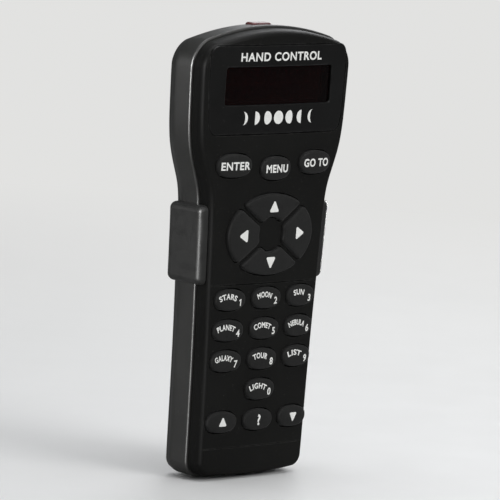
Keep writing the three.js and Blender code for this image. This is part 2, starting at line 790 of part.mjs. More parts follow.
// ---------------------------------------------------------------- parts behind the board
// chip body raised off the board, with one slab for the leads of both sides
function makeChip({ x, z, width, height, thickness }) {
  const front = BOARD_REAR + 0.2;
  const spanX = [x - width / 2, x + width / 2];
  const spanZ = [z - height / 2, z + height / 2];
  return join(
    box(spanX, [front, front + thickness], spanZ),
    box(widen(spanX, 1), [BOARD_REAR, front + 0.3], widen(spanZ, -0.8)),
  );
}

const makeCrystal = () =>
  prism(roundedRect([-15.5, -4.5], [60, 64.5], 2.2), BOARD_REAR, BOARD_REAR + 3.4);

function makeCapacitor() {
  const profile = [[0, 0], [3.15, 0], [3.15, 5.6], [2.8, 6.0], [0, 6.0]];
  return toSolid(lathe(profile, 18).translate(4, yAt(BOARD_REAR), 44));
}

// ---------------------------------------------------------------- cord socket
const CONTACT_PITCH = 1.27;
const CONTACT_WIDTH = 0.5;

// modular socket that opens downwards through the foot
function makeCordSocket() {
  const below = JACK.z[0] - 1;
  return cut(
    box(across(JACK.halfX), JACK.depth, JACK.z),
    box(across(4.95), [7.0, 13.8], [below, 14.4]), // plug
    box(across(3.1), [13.7, 15.8], [below, 12.4]), // latch
    box(across(3.6), [6.2, 7.1], [2.2, 15.4]), // contact tray
  );
}

function makeContact(index) {
  // strip with a bent spring arm: [depth, z]
  const profile = [
    [6.35, 15.2], [6.75, 15.2], [6.75, 4.4], [9.3, 11.4], [9.6, 11.2], [6.9, 3.2], [6.35, 3.2],
  ];
  const x = (index - 1.5) * CONTACT_PITCH;
  return prismX(profile, x - CONTACT_WIDTH / 2, CONTACT_WIDTH);
}

// ---------------------------------------------------------------- lamp in the top edge
function makeLampLens() {
  const section = roundedRect(across(LAMP.halfX), LAMP.depth.map(yAt), 1.6); // [x, y]
  const geometry = new THREE.ExtrudeGeometry(shapeOf(section), {
    depth: 2.9,
    bevelEnabled: true,
    bevelThickness: 0.5,
    bevelSize: 0.5,
    bevelOffset: -0.5,
    bevelSegments: 2,
  });
  return toSolid(geometry.translate(0, 0, 163.8));
}

function makeLampLed() {
  // [radius, z]
  const profile = [
    [0, 151.6], [2.3, 151.6], [2.3, 152.8], [1.9, 152.8],
    [1.9, 157.4], [1.5, 158.6], [0.8, 159.2], [0, 159.3],
  ];
  const y = yAt((LAMP.depth[0] + LAMP.depth[1]) / 2);
  return toSolid(lathe(profile, 16).rotateX(Math.PI / 2).translate(0, y, 0));
}

// ---------------------------------------------------------------- materials
function material(name, settings) {
  const result = new THREE.MeshStandardMaterial(settings);
  result.name = name;
  return result;
}
const materials = {
  shell: material("case_plastic", { color: 0x1b1b19, roughness: 0.5 }),
  bezel: material("bezel_plastic", { color: 0x161615, roughness: 0.35 }),
  lens: material("lens", { color: 0x1a0605, roughness: 0.1 }),
  key: material("key_rubber", { color: 0x1c1c1a, roughness: 0.6 }),
  grip: material("grip_rubber", { color: 0x2d2e2b, roughness: 0.75 }),
  mat: material("keypad_silicone", { color: 0x3a3a38, roughness: 0.7 }),
  board: material("board", { color: 0x1d4a2c, roughness: 0.5 }),
  chip: material("chip", { color: 0x111111, roughness: 0.4 }),
  tin: material("tin_plate", { color: 0x9a9a96, roughness: 0.35, metalness: 0.9 }),
  steel: material("screw_steel", { color: 0x8a8a88, roughness: 0.35, metalness: 0.9 }),
  glass: material("lcd_glass", { color: 0x2a0806, roughness: 0.15 }),
  diffuser: material("diffuser", { color: 0xd8d4c8, roughness: 0.6 }),
  brass: material("contact_brass", { color: 0xc9a24a, roughness: 0.3, metalness: 0.9 }),
  jack: material("jack_plastic", { color: 0x141414, roughness: 0.45 }),
  lamp: material("lamp_red", { color: 0x8c0d0a, roughness: 0.2 }),
  ribbon: material("ribbon", { color: 0xb8b5a8, roughness: 0.5 }),
  label: material("label", { color: 0x8f8f8b, roughness: 0.45 }),
};

// ---------------------------------------------------------------- scene graph
const controller = new THREE.Group();
controller.name = "hand_controller";

// adds a group whose pieces are [name, solid, material]
function addGroup(name, pieces) {
  const group = new THREE.Group();
  group.name = name;
  controller.add(group);
  for (const [pieceName, solid, pieceMaterial] of pieces) {
    const geometry = toGeometry(solid);
    geometry.computeBoundingBox();
    // each piece's origin is its own centre, to the nearest quarter millimetre
    const centre = geometry.boundingBox.getCenter(new THREE.Vector3());
    centre.multiplyScalar(4).round().divideScalar(4);
    geometry.translate(-centre.x, -centre.y, -centre.z);
    const mesh = new THREE.Mesh(geometry, pieceMaterial);
    mesh.name = pieceName;
    mesh.position.copy(centre);
    group.add(mesh);
  }
}

const processor = { x: -9, z: 84, width: 14, height: 14, thickness: 1.4 };
const memory = { x: 14, z: 84, width: 8, height: 14, thickness: 1.8 };
const regulator = { x: 16, z: 44, width: 6.5, height: 7, thickness: 2.2 };

addGroup("case", [
  ["front_shell", makeFrontShell(), materials.shell],
  ["rear_shell", makeRearShell(), materials.shell],
  ["grip_left", makeGrip("left"), materials.grip],
  ["grip_right", makeGrip("right"), materials.grip],
  ["rear_label", makeRearLabel(), materials.label],
  ["lamp_lens", makeLampLens(), materials.lamp],
]);
addGroup("display", [
  ["display_bezel", makeDisplayBezel(), materials.bezel],
  ["display_lens", makeDisplayLens(), materials.lens],
  ["lcd_frame", makeLcdFrame(), materials.tin],
  ["lcd_glass", makeLcdGlass(), materials.glass],
  ["backlight_panel", makeBacklight(), materials.diffuser],
  ["lcd_board", makeLcdBoard(), materials.board],
  ["lcd_connector", makeConnector(LCD_CONNECTOR_Z, LCD_BOARD_REAR), materials.jack],
  ["display_ribbon", makeRibbon(), materials.ribbon],
]);
addGroup("keypad", [
  ["keypad_mat", makeKeypadMat(), materials.mat],
  ...keys.map((key) => [key.name, makeKey(key), materials.key]),
]);
addGroup("electronics", [
  ["circuit_board", makeCircuitBoard(), materials.board],
  ["board_connector", makeConnector(BOARD_CONNECTOR_Z, BOARD_REAR), materials.jack],
  ["processor_chip", makeChip(processor), materials.chip],
  ["memory_chip", makeChip(memory), materials.chip],
  ["voltage_regulator", makeChip(regulator), materials.chip],
  ["crystal", makeCrystal(), materials.tin],
  ["capacitor", makeCapacitor(), materials.tin],
  ["cord_socket", makeCordSocket(), materials.jack],
  ...[0, 1, 2, 3].map((i) => [`socket_contact_${i + 1}`, makeContact(i), materials.brass]),
  ["lamp_led", makeLampLed(), materials.lamp],
]);
addGroup(
  "fasteners",
  Object.entries(SCREWS).flatMap(([kind, family]) =>
    family.places.map((place) => [
      `${kind}_screw_${place.name}`,
      makeScrew(place, family),
      materials.steel,
    ]),
  ),
);

export default controller;
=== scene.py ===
"""Hand control with a display, rubber keys, side grips and a cord socket at its foot.

It stands upright: Z runs up its length from the foot, X across its width, and its face looks
to -Y. Pieces are drawn in mm. A depth is measured towards +Y from the face's middle line; the
face is crowned, so it falls back by crown(x) towards the sides.
"""

import math

import bmesh
import bpy
import numpy as np
from mathutils import Matrix, Vector


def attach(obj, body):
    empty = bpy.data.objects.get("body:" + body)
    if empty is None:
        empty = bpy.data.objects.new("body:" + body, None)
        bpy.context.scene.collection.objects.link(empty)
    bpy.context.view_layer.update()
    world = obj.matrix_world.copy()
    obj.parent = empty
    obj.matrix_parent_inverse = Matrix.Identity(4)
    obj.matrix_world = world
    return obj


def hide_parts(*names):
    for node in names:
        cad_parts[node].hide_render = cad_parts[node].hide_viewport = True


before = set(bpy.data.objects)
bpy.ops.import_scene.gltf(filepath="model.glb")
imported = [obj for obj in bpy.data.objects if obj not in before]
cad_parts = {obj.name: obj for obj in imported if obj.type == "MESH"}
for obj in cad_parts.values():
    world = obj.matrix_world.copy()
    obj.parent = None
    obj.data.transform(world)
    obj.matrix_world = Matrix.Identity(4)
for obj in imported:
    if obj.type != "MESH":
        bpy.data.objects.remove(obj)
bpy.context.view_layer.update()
MM = 0.001

# ---------------------------------------------------------------- main dimensions, in mm
LENGTH, DEPTH = 166.6, 20.0
KEY_RISE = 1.35  # key tops in front of the face
FACE_Y = -(DEPTH - KEY_RISE) / 2
CROWN_R = 420.0
SPLIT_D = 6.9  # depth of the joint between the shells
SHELL_GAP, FRONT_INSET = 0.15, 1.0
WALL, FACE_WALL = 1.0, 2.0
BOARD_D = 8.0
# the foot and top edges are parabolas, rise = CROWN * x * x
FOOT_CROWN, TOP_CROWN = 0.0017, 0.00413
FOOT_CORNER, TOP_CORNER = 5.2, 8.0
# height above the foot, half width of the case
HALF_WIDTH = [
    (0, 28.3), (8, 28.7), (22, 29.0), (40, 29.4), (56, 29.9), (70, 30.5), (85, 31.1), (98, 31.7),
    (104, 32.3), (108, 33.2), (112, 34.7), (116, 36.3), (120, 37.7), (125, 38.9), (132, 39.7),
    (142, 40.2), (152, 40.5), (LENGTH, 40.5),
]

# keys
KEY_CLEAR, KEY_TRAVEL, KEY_EDGE = 0.35, 1.0, 0.95
PITCH_X, PITCH_Z, ROW_Z = 18.8, 11.3, 21.8
KEY_A, KEY_B = 7.5, 3.9  # half width and half height of the small keys
FLANGE, FLANGE_T, PLUNGER_R = 0.75, 1.0, 2.7
RING_Z, RING_A, RING_B, RING_HUB, RING_SPLIT, RING_ROUND = 90.5, 22.4, 15.0, 6.5, 1.8, 1.7

# display
BEZEL_T, BEZEL_MARGIN, BEZEL_CORNER = 0.7, 4.3, 4
BEZEL_Z0, BEZEL_Z1 = 127.6, 160.2
WIN_X, WIN_Z0, WIN_Z1 = 28.0, 138.4, 152.3

# rear shell, socket, lamp, label and screws
ROLL_D, ROLL_IN, ROLL_WIDE = 17.6, 1.3, 3.9  # roll into the flat back: depth, inset, width
JACK_X, JACK_D0, JACK_D1 = 6.6, 5.4, 17.0
LAMP_X, LAMP_D0, LAMP_D1 = 5.2, 10.9, 15.9
FIT = 0.3  # clearance round the socket, lamp and label
LABEL_X, LABEL_Z0, LABEL_Z1, LABEL_R = 21, 93, 123, 2
CASE_SCREWS = {
    "foot_left": (-20.8, 9.6), "foot_right": (20.8, 9.6),
    "head_left": (-32.6, 150), "head_right": (32.6, 150),
}


# ---------------------------------------------------------------- curves and outlines
def monotone(table):
    """smooth curve through (x, value) points that never overshoots them"""
    xs, values = zip(*table)
    n = len(xs)
    slope = [(values[i + 1] - values[i]) / (xs[i + 1] - xs[i]) for i in range(n - 1)]
    tangent = [slope[0]]
    for before, after in zip(slope, slope[1:]):
        tangent.append(0.0 if before * after <= 0 else 2 * before * after / (before + after))
    tangent.append(slope[-1])

    def value_at(x):
        i = 0
        while i < n - 2 and x > xs[i + 1]:
            i += 1
        h = xs[i + 1] - xs[i]
        s = min(max((x - xs[i]) / h, 0.0), 1.0)
        return (
            (1 + 2 * s) * (1 - s) ** 2 * values[i] + s * (1 - s) ** 2 * h * tangent[i]
            + s * s * (3 - 2 * s) * values[i + 1] + s * s * (s - 1) * h * tangent[i + 1]
        )

    return value_at


half_width = monotone(HALF_WIDTH)
# depth, inset of the rear shell's side
rear_profile = monotone([
    (SPLIT_D + 0.5, 0.0), (14.5, 0.3), (ROLL_D, ROLL_IN), (19.3, 3.0), (DEPTH, 5.2),
])


def Y(depth):
    return FACE_Y + depth


def crown(x):
    return CROWN_R - math.sqrt(CROWN_R * CROWN_R - x * x)


def crown_face(offset):
    return lambda x: Y(crown(x) + offset)


def bezier(points, steps):
    out = []
    for i in range(steps + 1):
        t = i / steps
        weights = ((1 - t) ** 3, 3 * t * (1 - t) ** 2, 3 * t * t * (1 - t), t ** 3)
        out.append(tuple(sum(w * p[axis] for w, p in zip(weights, points)) for axis in (0, 1)))
    return out


def round_corner(start, corner, end, steps):
    pull = 0.5523  # makes the curve close to a quarter circle
    handles = [tuple(p[q] + (corner[q] - p[q]) * pull for q in (0, 1)) for p in (start, end)]
    return bezier((start, *handles, end), steps)


def quarter_roll(steps, first=0):
    """(inset, depth) of a rolled edge of radius 1, from its face to its side"""
    angles = [math.pi / 2 * i / steps for i in range(first, steps + 1)]
    return [(1 - math.sin(t), 1 - math.cos(t)) for t in angles]


def case_outline():
    """outline of the case in x and z, from the foot's middle round by +X"""
    def foot(x):
        return FOOT_CROWN * x * x

    def top(x):
        return LENGTH - TOP_CROWN * x * x

    low_x, high_x = half_width(1.2), half_width(160)
    low, high = (low_x, foot(low_x)), (high_x, top(high_x))
    foot_end = (low_x - FOOT_CORNER, foot(low_x - FOOT_CORNER))
    side_start = (half_width(low[1] + FOOT_CORNER), low[1] + FOOT_CORNER)
    side_end = (half_width(high[1] - TOP_CORNER), high[1] - TOP_CORNER)
    top_start = (high_x - TOP_CORNER, top(high_x - TOP_CORNER))
    half = [(foot_end[0] * i / 8, foot(foot_end[0] * i / 8)) for i in range(8)]
    half += round_corner(foot_end, low, side_start, 14)
    step = 2.2
    z = side_start[1] + step
    while z < side_end[1] - 1.2:
        half.append((half_width(z), z))
        z += step
    half += round_corner(side_end, high, top_start, 16)
    half += [(top_start[0] * i / 10, top(top_start[0] * i / 10)) for i in range(9, -1, -1)]
    return np.array(half + [(-x, z) for x, z in half[1:-1][::-1]])


OUTLINE = case_outline()


def inset(outline, amount):
    """moves a counterclockwise outline inwards; a negative amount grows it"""
    p = np.asarray(outline, float)
    along = np.roll(p, -1, 0) - np.roll(p, 1, 0)
    out = np.stack([along[:, 1], -along[:, 0]], 1)
    return p - out / np.linalg.norm(out, axis=1)[:, None] * amount


def at(p, depth):
    return np.stack([p[:, 0], np.full(len(p), Y(depth)), p[:, 1]], 1)


def on_crown(p, depth):
    return np.stack([p[:, 0], [Y(crown(x) + depth) for x in p[:, 0]], p[:, 1]], 1)


def rounded(x0, x1, z0, z1, r, steps=8):
    points = []
    corners = (
        (x1 - r, z0 + r, -90), (x1 - r, z1 - r, 0), (x0 + r, z1 - r, 90), (x0 + r, z0 + r, 180),
    )
    for cx, cz, start in corners:
        for i in range(steps + 1):
            a = math.radians(start + 90 * i / steps)
            points.append((cx + r * math.cos(a), cz + r * math.sin(a)))
    return np.array(points)


def grown_window(grow, r):
    return rounded(-WIN_X - grow, WIN_X + grow, WIN_Z0 - grow, WIN_Z1 + grow, r)


def circle(x, z, r, n):
    angles = [2 * math.pi * i / n for i in range(n)]
    return np.array([(x + r * math.cos(a), z + r * math.sin(a)) for a in angles])


def densify(p, step):
    p = np.asarray(p, float)
    out = []
    for a, b in zip(p, np.roll(p, -1, 0)):
        n = max(1, int(math.ceil(np.linalg.norm(b - a) / step)))
        out += [a + (b - a) * i / n for i in range(n)]
    return np.array(out)


def symmetric(p):
    """starts an outline at its lowest middle point and puts points on the middle line"""
    middle = (p[:, 1].min() + p[:, 1].max()) / 2
    right = [tuple(q) for q in p if q[0] > 1e-6]
    right.sort(key=lambda q: math.atan2(q[0], -(q[1] - middle)))
    points = [(0.0, right[0][1])] + right + [(0.0, right[-1][1])]
    return np.array(points + [(-x, z) for x, z in points[1:-1][::-1]])


# ---------------------------------------------------------------- meshes
def tidy(mesh, merge, fix=None):
    """merges points closer than merge, in metres, then runs fix on the bmesh"""
    bm = bmesh.new()
    bm.from_mesh(mesh)
    bmesh.ops.remove_doubles(bm, verts=bm.verts, dist=merge)
    if fix:
        fix(bm)
    bm.to_mesh(mesh)
    bm.free()


def mesh_object(name, verts, faces):
    mesh = bpy.data.meshes.new(name)
    mesh.from_pydata([tuple(float(c) * MM for c in v) for v in verts], [], faces)
    tidy(mesh, 1e-7, lambda bm: bmesh.ops.recalc_face_normals(bm, faces=bm.faces))
    ob = bpy.data.objects.new(name, mesh)
    bpy.context.scene.collection.objects.link(ob)
    return ob


def walls(n, rings):
    """quads that join each ring of n points to the next"""
    faces = []
    for k in range(rings - 1):
        for i in range(n):
            j = (i + 1) % n
            faces.append((k * n + i, k * n + j, (k + 1) * n + j, (k + 1) * n + i))
    return faces


def crowned_cap(verts, base, n, height, columns):
    """fills ring base across x in rows; height gives y for x. Adds points to verts"""
    middle = n // 2
    rows = []
    for i in range(middle + 1):
        if i in (0, middle):
            rows.append([base + i])
            continue
        right, left = base + i, base + n - i
        row = [left]
        for c in range(1, columns):
            x = verts[left][0] + (verts[right][0] - verts[left][0]) * c / columns
            verts.append((x, height(x), verts[right][2]))
            row.append(len(verts) - 1)
        rows.append(row + [right])
    faces = []
    for lo, hi in zip(rows, rows[1:]):
        if len(lo) == 1:
            faces.extend((lo[0], hi[c + 1], hi[c]) for c in range(columns))
        elif len(hi) == 1:
            faces.extend((lo[c], lo[c + 1], hi[0]) for c in range(columns))
        else:
            faces.extend((lo[c], lo[c + 1], hi[c + 1], hi[c]) for c in range(columns))
    return faces


def loft(name, rings, front=None, back=None, columns=44):
    """closed skin over rings; the first and last are capped flat, or by a crowned height"""
    n = len(rings[0])
    verts = [tuple(v) for r in rings for v in r]
    faces = walls(n, len(rings))
    for base, height in ((0, front), ((len(rings) - 1) * n, back)):
        if height is None:
            faces.append(tuple(range(base, base + n)))
        else:
            faces += crowned_cap(verts, base, n, height, columns)
    return mesh_object(name, verts, faces)


def loft_up(name, outline, stations):
    """loft along Z of an outline in x and depth; stations are (z, inset)"""
    n = len(outline)
    verts = [(x, Y(d), z) for z, amount in stations for x, d in inset(outline, amount)]
    faces = [tuple(range(n)), tuple(range((len(stations) - 1) * n, len(verts)))]
    return mesh_object(name, verts, faces + walls(n, len(stations)))


def prism(name, p, d0, d1):
    return loft(name, [at(p, d0), at(p, d1)])


def box(name, x0, x1, d0, d1, z0, z1):
    return prism(name, np.array([(x0, z0), (x1, z0), (x1, z1), (x0, z1)]), d0, d1)


def opening(name, p, rim, deep):
    """cutter with a rolled rim where it meets the crowned face"""
    rings = [on_crown(inset(p, -rim - 0.6), -2.0), on_crown(inset(p, -rim), -0.02)]
    for out, down in quarter_roll(5, first=1):
        rings.append(on_crown(inset(p, -rim * out), rim * down))
    rings.append(on_crown(p, deep))
    return loft(name, rings)


def crown_slab(name, p, d0, d1, edge=0.0, columns=44):
    """symmetric outline, both faces crowned, front edge rolled by edge"""
    rings = [on_crown(p, d0)]
    if edge:
        rings = [on_crown(inset(p, edge * o), d0 + edge * down) for o, down in quarter_roll(4)]
    rings.append(on_crown(p, d1))
    return loft(name, rings, front=crown_face(d0), back=crown_face(d1), columns=columns)


def baked(ob):
    graph = bpy.context.evaluated_depsgraph_get()
    return bpy.data.meshes.new_from_object(ob.evaluated_get(graph))


def drop(ob):
    bpy.data.objects.remove(ob, do_unlink=True)


def boolean(ob, tools, op="DIFFERENCE"):
    """cuts or joins the tools at once, then drops them"""
    scene = bpy.context.scene.collection
    group = bpy.data.collections.new(ob.name + "_tools")
    scene.children.link(group)
    for tool in tools:
        scene.objects.unlink(tool)
        group.objects.link(tool)
    cut = ob.modifiers.new("cut", "BOOLEAN")
    cut.operation = op
    cut.operand_type = "COLLECTION"
    cut.collection = group
    cut.solver = "EXACT"
    mesh = baked(ob)
    ob.modifiers.clear()
    ob.data = mesh
    for tool in tools:
        drop(tool)
    bpy.data.collections.remove(group)
    tidy(mesh, 2e-7, lambda bm: bmesh.ops.dissolve_degenerate(bm, edges=bm.edges, dist=1e-7))


def smooth(ob, angle):
    for p in ob.data.polygons:
        p.use_smooth = True
    ob.data.set_sharp_from_angle(angle=math.radians(angle))
    m = ob.modifiers.new("normals", "WEIGHTED_NORMAL")
    m.keep_sharp = True
    m.weight = 70


# ---------------------------------------------------------------- key shapes
class Key:
    """a key's centre, outline, spine its dome is measured from, and hole in the face"""

    def __init__(self, x, z, outline, spine, hole, dome):
        self.x, self.z = x, z
        self.outline, self.spine, self.hole, self.dome = outline, spine, hole, dome
        self.reach = float(np.mean([np.min(self.to_spine(*p)) for p in outline]))

    def to_spine(self, x, z):
        return np.hypot(self.spine[:, 0] - x, self.spine[:, 1] - z)

    def top(self, x, z):
        """depth of the key's top from the crowned face; negative is in front"""
        s = min(float(np.min(self.to_spine(x, z))) / max(self.reach - KEY_EDGE, 0.1), 1.0)
        return -KEY_RISE + self.dome * s * s


def oval(cx, cz, a, b):
    n, power = 72, 2 / 2.4  # a superellipse, a little squarer than an ellipse
    points = []
    for i in range(n):
        t = 2 * math.pi * (i + 0.5) / n
        c, s = math.cos(t), math.sin(t)
        x = cx + a * math.copysign(abs(c) ** power, c)
        points.append((x, cz + b * math.copysign(abs(s) ** power, s)))
    return np.array(points)


def oval_key(x, z, a, b):
    reach = (a - b) * 0.92
    spine = np.stack([np.linspace(x - reach, x + reach, 30), np.full(30, z)], 1)
    hole = oval(x, z, a + KEY_CLEAR, b + KEY_CLEAR)
    return Key(x, z, oval(x, z, a, b), spine, hole, dome=0.15)


def lerp(a, b, k):
    return (a[0] + (b[0] - a[0]) * k, a[1] + (b[1] - a[1]) * k)


def rounded_chain(chains, r, steps):
    """joins chains of points end to end, with a rounded corner at each joint"""
    def trim_start(points):
        left = r
        for i, (a, b) in enumerate(zip(points, points[1:])):
            length = math.hypot(b[0] - a[0], b[1] - a[1])
            if length > left:
                return [lerp(a, b, left / length)] + points[i + 1:]
            left -= length
        return points[-1:]

    trimmed = [trim_start(trim_start(list(c))[::-1])[::-1] for c in chains]
    out = []
    for i, chain in enumerate(chains):
        out += trimmed[i]
        a, b, corner = trimmed[i][-1], trimmed[(i + 1) % len(chains)][0], chain[-1]
        for k in range(1, steps):
            t = k / steps
            out.append(tuple(
                (1 - t) ** 2 * a[j] + 2 * t * (1 - t) * corner[j] + t * t * b[j] for j in (0, 1)
            ))
    return out


def ring_segment(side):
    """outline and spine of one quarter of the arrow ring, which is split along its diagonals"""
    split = math.atan2(RING_B, RING_A)
    across = (-math.sin(split), math.cos(split))
    sideways = side in ("left", "right")
    offset = (-1 if sideways else 1) * RING_SPLIT / 2

    def outer(t):
        return (RING_A * math.cos(t), RING_B * math.sin(t))

    def inner(t):
        return (RING_HUB * math.cos(t), RING_HUB * math.sin(t))

    def meet(curve):
        """angle where the curve crosses the edge of the split, by bisection"""
        def gap(t):
            return curve(t)[0] * across[0] + curve(t)[1] * across[1] - offset

        lo, hi = 0.0, math.pi / 2
        for _ in range(60):
            mid = (lo + hi) / 2
            if gap(lo) * gap(mid) <= 0:
                hi = mid
            else:
                lo = mid
        return (lo + hi) / 2

    def arc(curve, t0, t1, n):
        return [curve(t0 + (t1 - t0) * i / n) for i in range(n + 1)]

    def line(a, b):
        return [lerp(a, b, i / 10) for i in range(11)]

    out1, in1 = meet(outer), meet(inner)
    inward = 0.42  # share of the half angle the spine spans, or is cut back by
    if sideways:
        out0, in0, outer_steps, inner_steps = -out1, -in1, 30, 14
        span = (-out1 * inward, out1 * inward)
    else:
        out0, in0, outer_steps, inner_steps = out1, in1, 36, 18
        out1, in1 = math.pi - out0, math.pi - in0
        back = (math.pi / 2 - out0) * inward
        span = (out0 + back, out1 - back)
    outline = np.array(rounded_chain([
        arc(outer, out0, out1, outer_steps), line(outer(out1), inner(in1)),
        arc(inner, in1, in0, inner_steps), line(inner(in0), outer(out0)),
    ], RING_ROUND, 7))
    spine = np.array([lerp(outer(t), inner(t), 0.5) for t in np.linspace(*span, 40)])
    mirror = {"left": (-1, 1), "down": (1, -1)}.get(side)
    if mirror:
        outline, spine = (outline * mirror)[::-1], spine * mirror
    return outline + (0, RING_Z), spine + (0, RING_Z)


# name, x, z, half width, half height, word, width of the word
FUNCTION_KEYS = (
    ("key_enter", -21.5, 116.4, 8.6, 4.3, "ENTER", 14.4),
    ("key_menu", 0, 114.9, 7.8, 4.3, "MENU", 11.4),
    ("key_goto", 21.5, 116.4, 8.6, 4.3, "GO TO", 13.6),
)
# side: x and z from the ring's centre, angle its mark points to, shift of the mark in z
ARROWS = {
    "up": (0, 10.7, 90, -0.9), "down": (0, -10.7, -90, 0.9),
    "left": (-14.4, 0, 180, 0), "right": (14.4, 0, 0, 0),
}


def all_keys():
    keys = {name: oval_key(x, z, a, b) for name, x, z, a, b, _, _ in FUNCTION_KEYS}
    small = {f"key_{i + 1}": (i % 3 - 1, 4 - i // 3) for i in range(9)}
    small |= {"key_0": (0, 1), "key_scroll_up": (-1, 0), "key_help": (0, 0)}
    small["key_scroll_down"] = (1, 0)
    for name, (column, row) in small.items():
        keys[name] = oval_key(column * PITCH_X, ROW_Z + row * PITCH_Z, KEY_A, KEY_B)
    for side, (x, z, _, _) in ARROWS.items():
        outline, spine = ring_segment(side)
        hole = inset(outline, -KEY_CLEAR)
        keys["key_arrow_" + side] = Key(x, RING_Z + z, outline, spine, hole, dome=0.1)
    return keys


KEYS = all_keys()


# ---------------------------------------------------------------- materials
class Graph:
    """shader nodes of one material; its methods hand back output sockets"""

    def __init__(self, name):
        self.material = bpy.data.materials.new(name)
        self.material.use_nodes = True
        self.tree = self.material.node_tree
        self.tree.nodes.clear()
        self.output = self.node("ShaderNodeOutputMaterial")
        self.coords = self.node("ShaderNodeTexCoord").outputs["Object"]

    def node(self, kind, inputs=None, **props):
        """inputs are sockets to link from, or values; colours are given without alpha"""
        node = self.tree.nodes.new(kind)
        for key, value in props.items():
            setattr(node, key, value)
        for key, value in (inputs or {}).items():
            socket = node.inputs[key]
            if isinstance(value, bpy.types.NodeSocket):
                self.tree.links.new(value, socket)
            elif socket.type == "RGBA":
                socket.default_value = (*value, 1.0)
            else:
                socket.default_value = value
        return node

    def finish(self, surface):
        self.tree.links.new(surface, self.output.inputs["Surface"])
        return self.material

    def noise(self, scale, detail=4, rough=0.55, stretch=None, distort=0.0):
        source = self.coords
        if stretch:
            mapping = self.node("ShaderNodeMapping", {"Scale": stretch, "Vector": source})
            source = mapping.outputs["Vector"]
        return self.node("ShaderNodeTexNoise", {
            "Scale": scale, "Detail": detail, "Roughness": rough, "Distortion": distort,
            "Vector": source,
        }).outputs["Fac"]

    def voronoi(self, scale, feature="F1"):
        inputs = {"Scale": scale, "Vector": self.coords}
        return self.node("ShaderNodeTexVoronoi", inputs, feature=feature).outputs["Distance"]

    def ramp(self, value, across, to=(0.0, 1.0)):
        return self.node("ShaderNodeMapRange", {
            "From Min": across[0], "From Max": across[1], "To Min": to[0], "To Max": to[1],
            "Value": value,
        }, clamp=True).outputs["Result"]

    def patches(self, across, to=(0.0, 1.0), **noise):
        return self.ramp(self.noise(**noise), across, to)

    def mix(self, fac, a, b):
        return self.node("ShaderNodeMix", {0: fac, 6: a, 7: b}, data_type="RGBA").outputs[2]

    def math(self, op, a, b):
        return self.node("ShaderNodeMath", {0: a, 1: b}, operation=op).outputs[0]

    def weighted(self, a, b, share):
        """share of a plus the rest of b"""
        return self.math("ADD", self.math("MULTIPLY", a, share),
                         self.math("MULTIPLY", b, 1 - share))

    def edge(self, radius):
        """1 on worn outer edges, 0 elsewhere"""
        bevel = self.node("ShaderNodeBevel", {"Radius": radius}, samples=4)
        normal = self.node("ShaderNodeNewGeometry").outputs["Normal"]
        dot = self.node("ShaderNodeVectorMath", {0: bevel.outputs["Normal"], 1: normal},
                        operation="DOT_PRODUCT")
        return self.ramp(dot.outputs["Value"], across=(0.995, 0.93))

    def bump(self, height, strength, distance, over=None):
        """distance is in metres; over is a bump this one is added to"""
        inputs = {"Strength": strength, "Distance": distance, "Height": height}
        if over is not None:
            inputs["Normal"] = over
        return self.node("ShaderNodeBump", inputs).outputs["Normal"]

    def principled(self, color, rough, normal=None, **extra):
        inputs = {"Base Color": color, "Roughness": rough}
        if normal is not None:
            inputs["Normal"] = normal
        inputs |= {key.replace("_", " "): value for key, value in extra.items()}
        return self.node("ShaderNodeBsdfPrincipled", inputs).outputs["BSDF"]

    def mix_shader(self, fac, a, b):
        return self.node("ShaderNodeMixShader", {0: fac, 1: a, 2: b}).outputs[0]


def scaled(color, factor):
    return tuple(c * factor for c in color)


def plastic(name, base, light, rough=(0.4, 0.55), grain=2600, bump=0.25, wear=0.35, spec=0.5,
            dust=0.12):
    """moulded plastic: fine grain, slow tone drift, handled patches, dust and rubbed edges"""
    g = Graph(name)
    slow = g.noise(scale=38, detail=3, rough=0.5)
    handled = g.noise(scale=95, detail=4, rough=0.6, distort=0.4)
    fine = g.noise(scale=grain, detail=3, rough=0.6)
    pits = g.voronoi(grain * 0.62)
    color = g.mix(g.ramp(slow, across=(0.35, 0.65)), base, scaled(base, 1.28))
    color = g.mix(g.ramp(fine, across=(0.45, 0.75), to=(0.0, 0.5)), color, light)
    specks = g.patches(scale=1500, detail=2, rough=0.5, across=(0.70, 0.76), to=(0.0, dust))
    color = g.mix(specks, color, (0.32, 0.31, 0.29))
    rubbed = g.patches(scale=420, detail=4, rough=0.7, across=(0.4, 0.62), to=(0.0, wear))
    edge = g.math("MULTIPLY", g.edge(radius=0.0005), rubbed)
    color = g.mix(edge, color, tuple(min(1.0, c * 5 + 0.03) for c in light))
    gloss = g.ramp(g.weighted(handled, fine, share=0.7), across=(0.32, 0.68), to=rough)
    gloss = g.math("SUBTRACT", gloss, g.math("MULTIPLY", edge, 0.1))
    scratches = g.patches(
        scale=520, detail=2, rough=0.5, stretch=(1, 1, 0.06), distort=0.3, across=(0.66, 0.69))
    relief = g.math("ADD", fine, g.math("MULTIPLY", pits, 0.6))
    normal = g.bump(relief, strength=bump, distance=0.00003)
    normal = g.bump(scratches, strength=0.06, distance=0.00002, over=normal)
    return g.finish(g.principled(color, gloss, normal, Specular_IOR_Level=spec))


